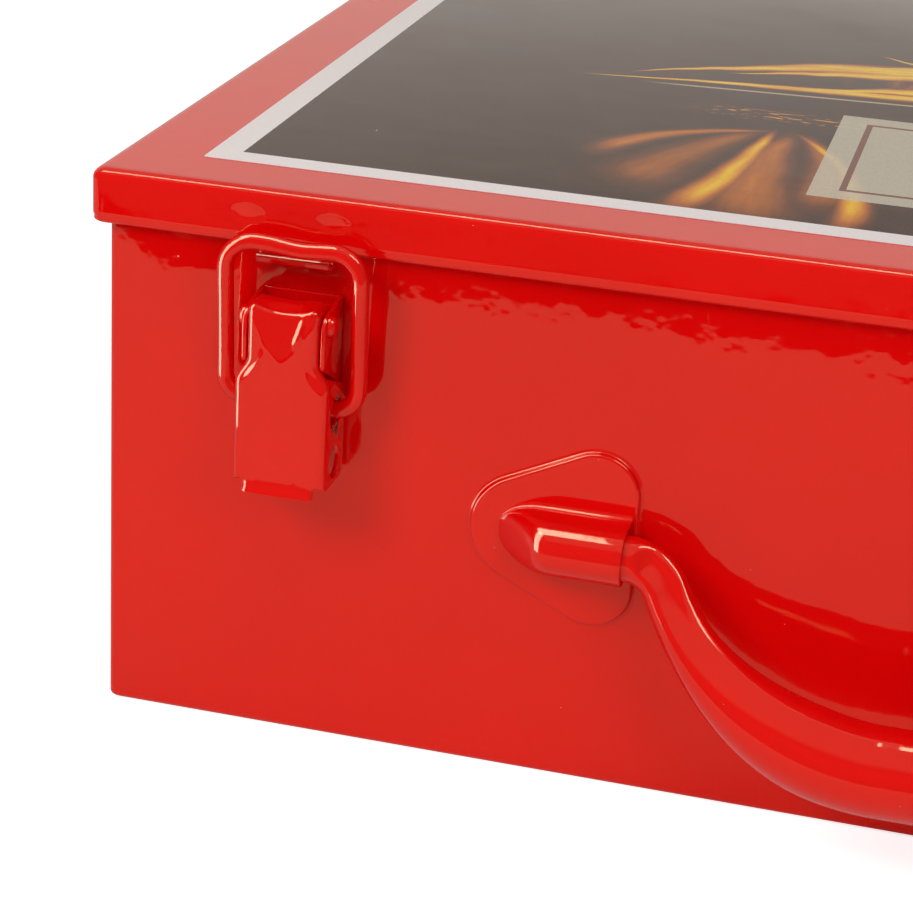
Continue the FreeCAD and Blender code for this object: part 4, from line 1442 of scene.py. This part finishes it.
def make_lights():
    """Soft key lamps for the paint, and lamps that only show as highlights in some pieces."""
    front = -HALF_DEPTH * MM
    case = (-0.1, front, 0.06)
    softbox("key_left", (-0.75, front - 0.8, 0.85), case, 0.5, 0.5, 8.5)
    softbox("key_right", (0.7, front - 0.9, 0.7), case, 0.5, 0.5, 3.5)
    softbox("key_top", (-0.1, front - 0.4, 1.1), case, 0.6, 0.4, 2.0)
    lid = pieces_named("case_lid")
    small = pieces_named("latch_", "handle_", "carry_", "hinge_")
    below = Vector((0, 0, -1))
    for name, x, y, width, depth in (
        ("gloss_left", -0.79, -0.34, 1.04, 0.5),
        ("gloss_right", 0.82, -0.4, 0.98, 0.4),
        ("gloss_slit", -0.055, -0.18, 0.014, 0.3),
    ):
        place = Vector((x, y, HIGHLIGHT_HEIGHT))
        softbox(name, place, place + below, width, depth, HIGHLIGHT_GLOW, small)
    beside = (-0.323, front - 0.103, 0.18)
    softbox("gloss_side", beside, (-0.158, front, 0.18), 0.097, 0.36, HIGHLIGHT_GLOW, small)
    above = Vector((0.0, front - 0.2, HIGHLIGHT_HEIGHT))
    softbox("gloss_fold", above, above + below, 1.7, 0.26, HIGHLIGHT_GLOW * 0.8, lid)


def make_camera():
    """The reference view: low on the front left quarter, looking down, with a slight roll."""
    yaw, pitch, roll = (math.radians(angle) for angle in CAMERA_ANGLES)
    forward = Vector(
        (math.sin(yaw) * math.cos(pitch), math.cos(yaw) * math.cos(pitch), -math.sin(pitch))
    )
    level = Vector((math.cos(yaw), -math.sin(yaw), 0))
    upright = level.cross(forward)
    right = level * math.cos(roll) + upright * math.sin(roll)
    above = upright * math.cos(roll) - level * math.sin(roll)
    camera = bpy.data.cameras.new("camera")
    camera.sensor_width = CAMERA_SENSOR
    camera.lens = CAMERA_LENS
    camera.clip_start = 0.01
    lens = bpy.data.objects.new("camera", camera)
    matrix = Matrix((right, above, -forward)).transposed().to_4x4()
    matrix.translation = Vector(CAMERA_PLACE) * MM
    lens.matrix_world = matrix
    bpy.context.scene.collection.objects.link(lens)
    bpy.context.scene.camera = lens


def main():
    """Builds every piece, then the stage round them."""
    shell_paint = enamel("shell_enamel", peel=2.4)
    # Latch, lever and handle paints are the case's enamel darkened by shade=0.95: painted shade for
    # parts standing out into more light
    latch_paint = enamel("latch_enamel", peel=0.8, wave=0.8, shade=0.95)
    lever_paint = enamel("lever_enamel", peel=0.8, wave=0.8, bare=rub_spots, shade=0.95)
    handle_paint = enamel("handle_enamel", peel=0.7, wave=0.6, shade=0.95)
    film = printed_picture("printed_film")
    bare = steel("pin_steel")
    make_body(shell_paint)
    make_lid(shell_paint)
    make_label(film)
    for side, sign in SIDES.items():
        make_hinge(side, shell_paint, bare)
        make_base(side, sign, latch_paint)
        make_pin(side, latch_paint)
        make_lever(side, sign, lever_paint)
        make_bail(side, sign, latch_paint)
        make_catch(side, sign, latch_paint)
        make_bracket(side, sign, handle_paint)
    make_handle(handle_paint)
    make_floor()
    make_world()
    make_lights()
    make_camera()
    bpy.context.scene.view_settings.view_transform = "Standard"


main()
